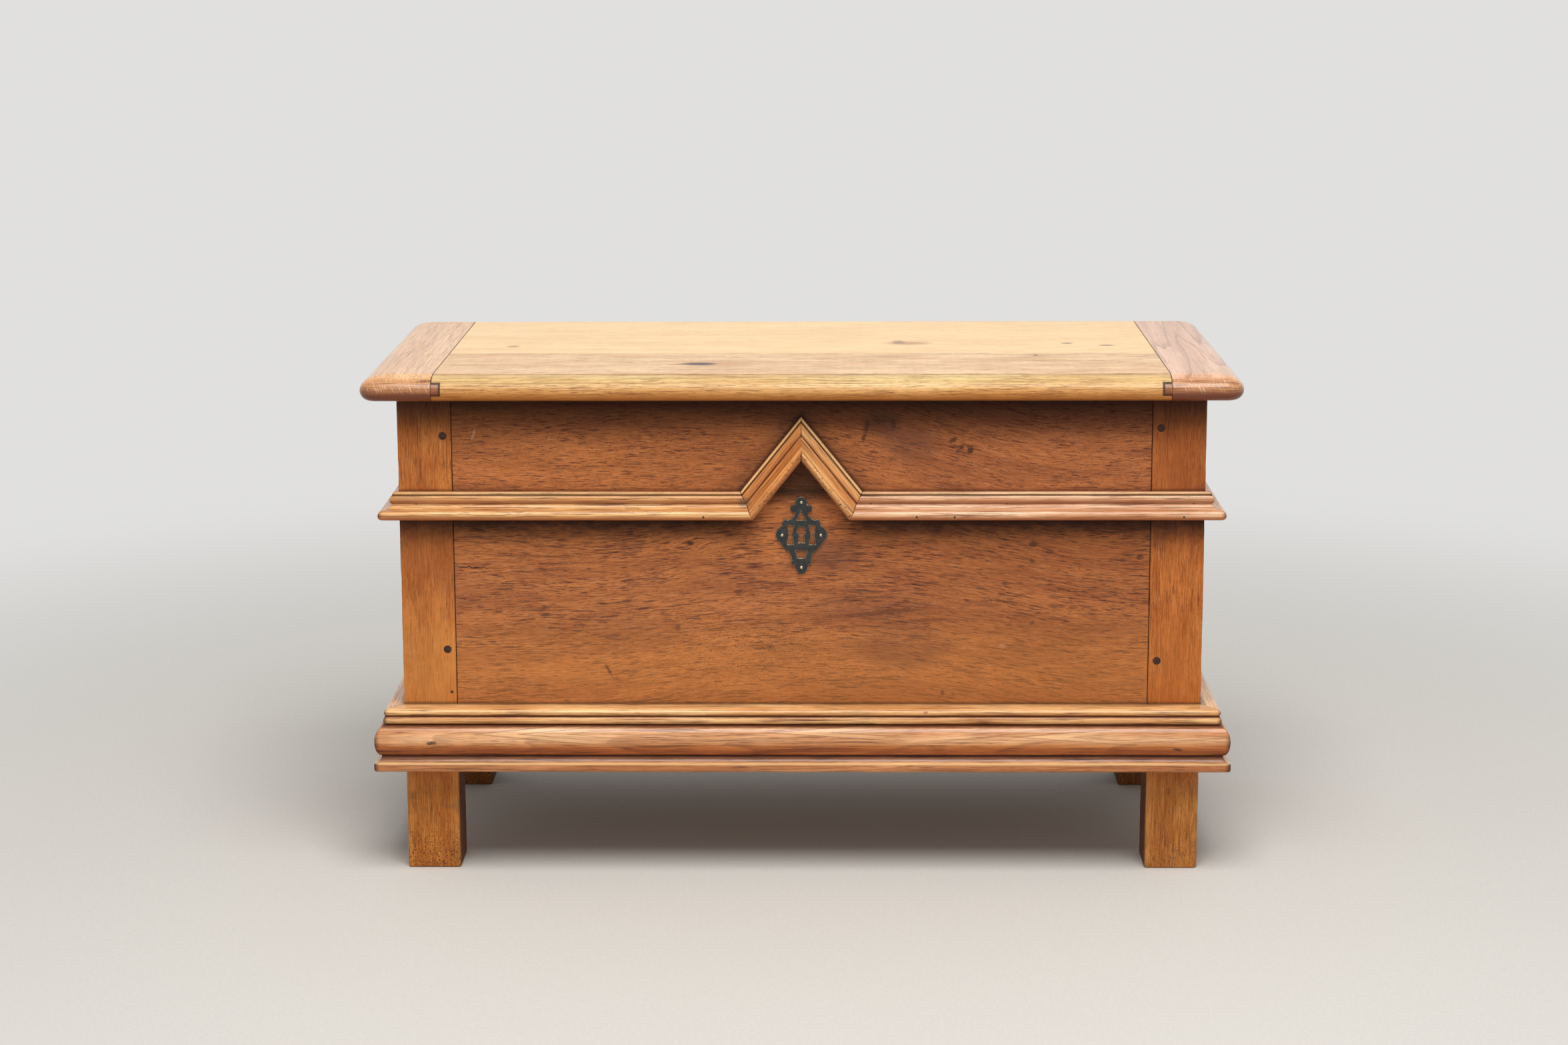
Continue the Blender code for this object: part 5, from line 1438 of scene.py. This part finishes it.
def set_studs(tree, points, sizes, finish_material):
    """Run a stud tree on points of (place, facing, size) and hand back its mesh."""
    mesh = bpy.data.meshes.new("points")
    mesh.from_pydata([place for place, _, _ in points], [], [])
    mesh.attributes.new("facing", "FLOAT_VECTOR", "POINT")
    mesh.attributes.new("size", "FLOAT", "POINT")
    for i, (_, way, scale) in enumerate(points):
        mesh.attributes["facing"].data[i].vector = way
        mesh.attributes["size"].data[i].value = scale
    obj = bpy.data.objects.new("points", mesh)
    modifier = obj.modifiers.new("studs", "NODES")
    modifier.node_group = tree
    values = sizes | {"Finish": finish_material}
    for socket in tree.interface.items_tree:
        if socket.in_out == "INPUT" and socket.name in values:
            modifier[socket.identifier] = values[socket.name]
    bpy.context.scene.collection.objects.link(obj)
    return settle(obj)


PEG_SIZES = {"Radius": 0.0050, "Rise": 0.0004, "Length": 0.032, "Unevenness": 0.16, "Seed": 3}
PIN_SIZES = {"Radius": 0.0022, "Rise": 0.0015, "Unevenness": 0.06, "Seed": 5}
BRAD_SIZES = {"Radius": 0.0014, "Rise": 0.0003, "Unevenness": 0.3, "Seed": 8}
NAIL_SIZES = {"Radius": 0.0046, "Rise": 0.0016, "Unevenness": 0.25, "Seed": 11}
GABLE_BRAD = (-0.0194, 0.5075)
POST_PLUG = (-0.4396, 0.2294)
PLUG_SCALE = 1.3
GABLE_BRAD_REACH = 0.0135
STRIP_NAIL = (0.4592, 0.2135)
STRIP_NAIL_REACH = 0.002
COVE_BRADS = (-0.4774, -0.2211, 0.0858, 0.2538, 0.4849)
NOSE_BRADS = (-0.1208, 0.1892, 0.4715, 0.1424)
COVE_SPOT = (0.0135, 0.0088)
NOSE_SPOT = (0.0284, 0.0238)
LEAF_NAILS = ((-0.011, -0.020), (0.011, -0.020), (0.0, -0.052))
STRAP_NAILS = (0.045, 0.095, 0.145, 0.178)


def make_studs():
    peg_tree, dome_tree = stud_tree("pegs", True), stud_tree("domed_heads", False)
    pegs = [node for node in nodes if slots[node] == "peg_oak"]
    points = []
    for node in pegs:
        low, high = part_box(node)
        tip = (low + high) / 2
        axis = 0 if high.x - low.x > high.y - low.y else 1
        facing = Vector((0, 0, 0))
        facing[axis] = math.copysign(1, tip[axis])
        tip[axis] = (high if facing[axis] > 0 else low)[axis]
        points.append((tip - facing * PEG_SIZES["Rise"], facing, 1.0))
    wood = peg_wood()
    add_piece("pegs", set_studs(peg_tree, points, PEG_SIZES, wood), wood, pegs[0], pegs)
    pins = [node for node in nodes if slots[node] == "pin_brass"]
    points = []
    for node in pins:
        low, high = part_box(node)
        seat = Vector(((low.x + high.x) / 2, low.y + PIN_SIZES["Rise"], (low.z + high.z) / 2))
        points.append((seat, -Y_AXIS, 1.0))
    metal = brass()
    add_piece("escutcheon_pins", set_studs(dome_tree, points, PIN_SIZES, metal), metal, pins[0], pins)
    points = [(Vector((STRIP_NAIL[0], CASE_FRONT - STRIP_NAIL_REACH, STRIP_NAIL[1])), Z_AXIS, 1.0)]
    add_piece("strip_nail", set_studs(dome_tree, points, BRAD_SIZES, metal), metal, pins[0])
    black = iron("nail_iron")
    points = []
    for places, (drop, reach) in ((COVE_BRADS, COVE_SPOT), (NOSE_BRADS, NOSE_SPOT)):
        points += [(Vector((x, CASE_FRONT - reach, MID_TOP - drop)), -Y_AXIS, 1.0) for x in places]
    points.append((Vector((GABLE_BRAD[0], CASE_FRONT - GABLE_BRAD_REACH, GABLE_BRAD[1])), -Y_AXIS, 1.0))
    points.append((Vector((POST_PLUG[0], CASE_FRONT, POST_PLUG[1])), -Y_AXIS, PLUG_SCALE))
    add_piece("moulding_brads", set_studs(dome_tree, points, BRAD_SIZES, black), black, "escutcheon")
    for hand in HANDS:
        low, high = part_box(f"{hand}_hinge_leaf")
        corner = Vector(((low.x + high.x) / 2, low.y + STRAP_THICKNESS, high.z))
        points = [(corner + Vector((x, 0, z)), Y_AXIS, 1.0) for x, z in LEAF_NAILS]
        heads = set_studs(dome_tree, points, NAIL_SIZES, black)
        add_piece(f"{hand}_leaf_nails", heads, black, f"{hand}_hinge_leaf")
        low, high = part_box(f"{hand}_hinge_strap")
        corner = Vector(((low.x + high.x) / 2, high.y, high.z - STRAP_THICKNESS))
        points = [(corner - Y_AXIS * y, -Z_AXIS, 0.9) for y in STRAP_NAILS]
        heads = set_studs(dome_tree, points, NAIL_SIZES, black)
        add_piece(f"{hand}_strap_nails", heads, black, f"{hand}_hinge_strap")


BOTTOM_JOINT = 0.003


def make_inside():
    """Chest bottom and its ledgers, which keep their CAD shapes."""
    for number, node in enumerate(node for node in nodes if slots[node] == "inner_oak"):
        low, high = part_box(node)
        along = "Y" if node.endswith("ledger") else "X"
        joints = [(near(1, edge, BOTTOM_JOINT), GRIME_AND_SHADE, 0.8) for edge in (low.y, high.y)]
        shades = [] if node.endswith("ledger") else joints
        material = oak(f"{node}_oak", "inner", along, (low + high) / 2, 500.0 + 29 * number, shades=shades)
        nodes[node].data.materials.clear()
        nodes[node].data.materials.append(material)


make_camera()
make_floor()
make_light()
make_posts()
make_boards()
make_mouldings()
make_lid()
make_iron()
make_studs()
make_inside()

bpy.context.scene.view_settings.view_transform = "Standard"
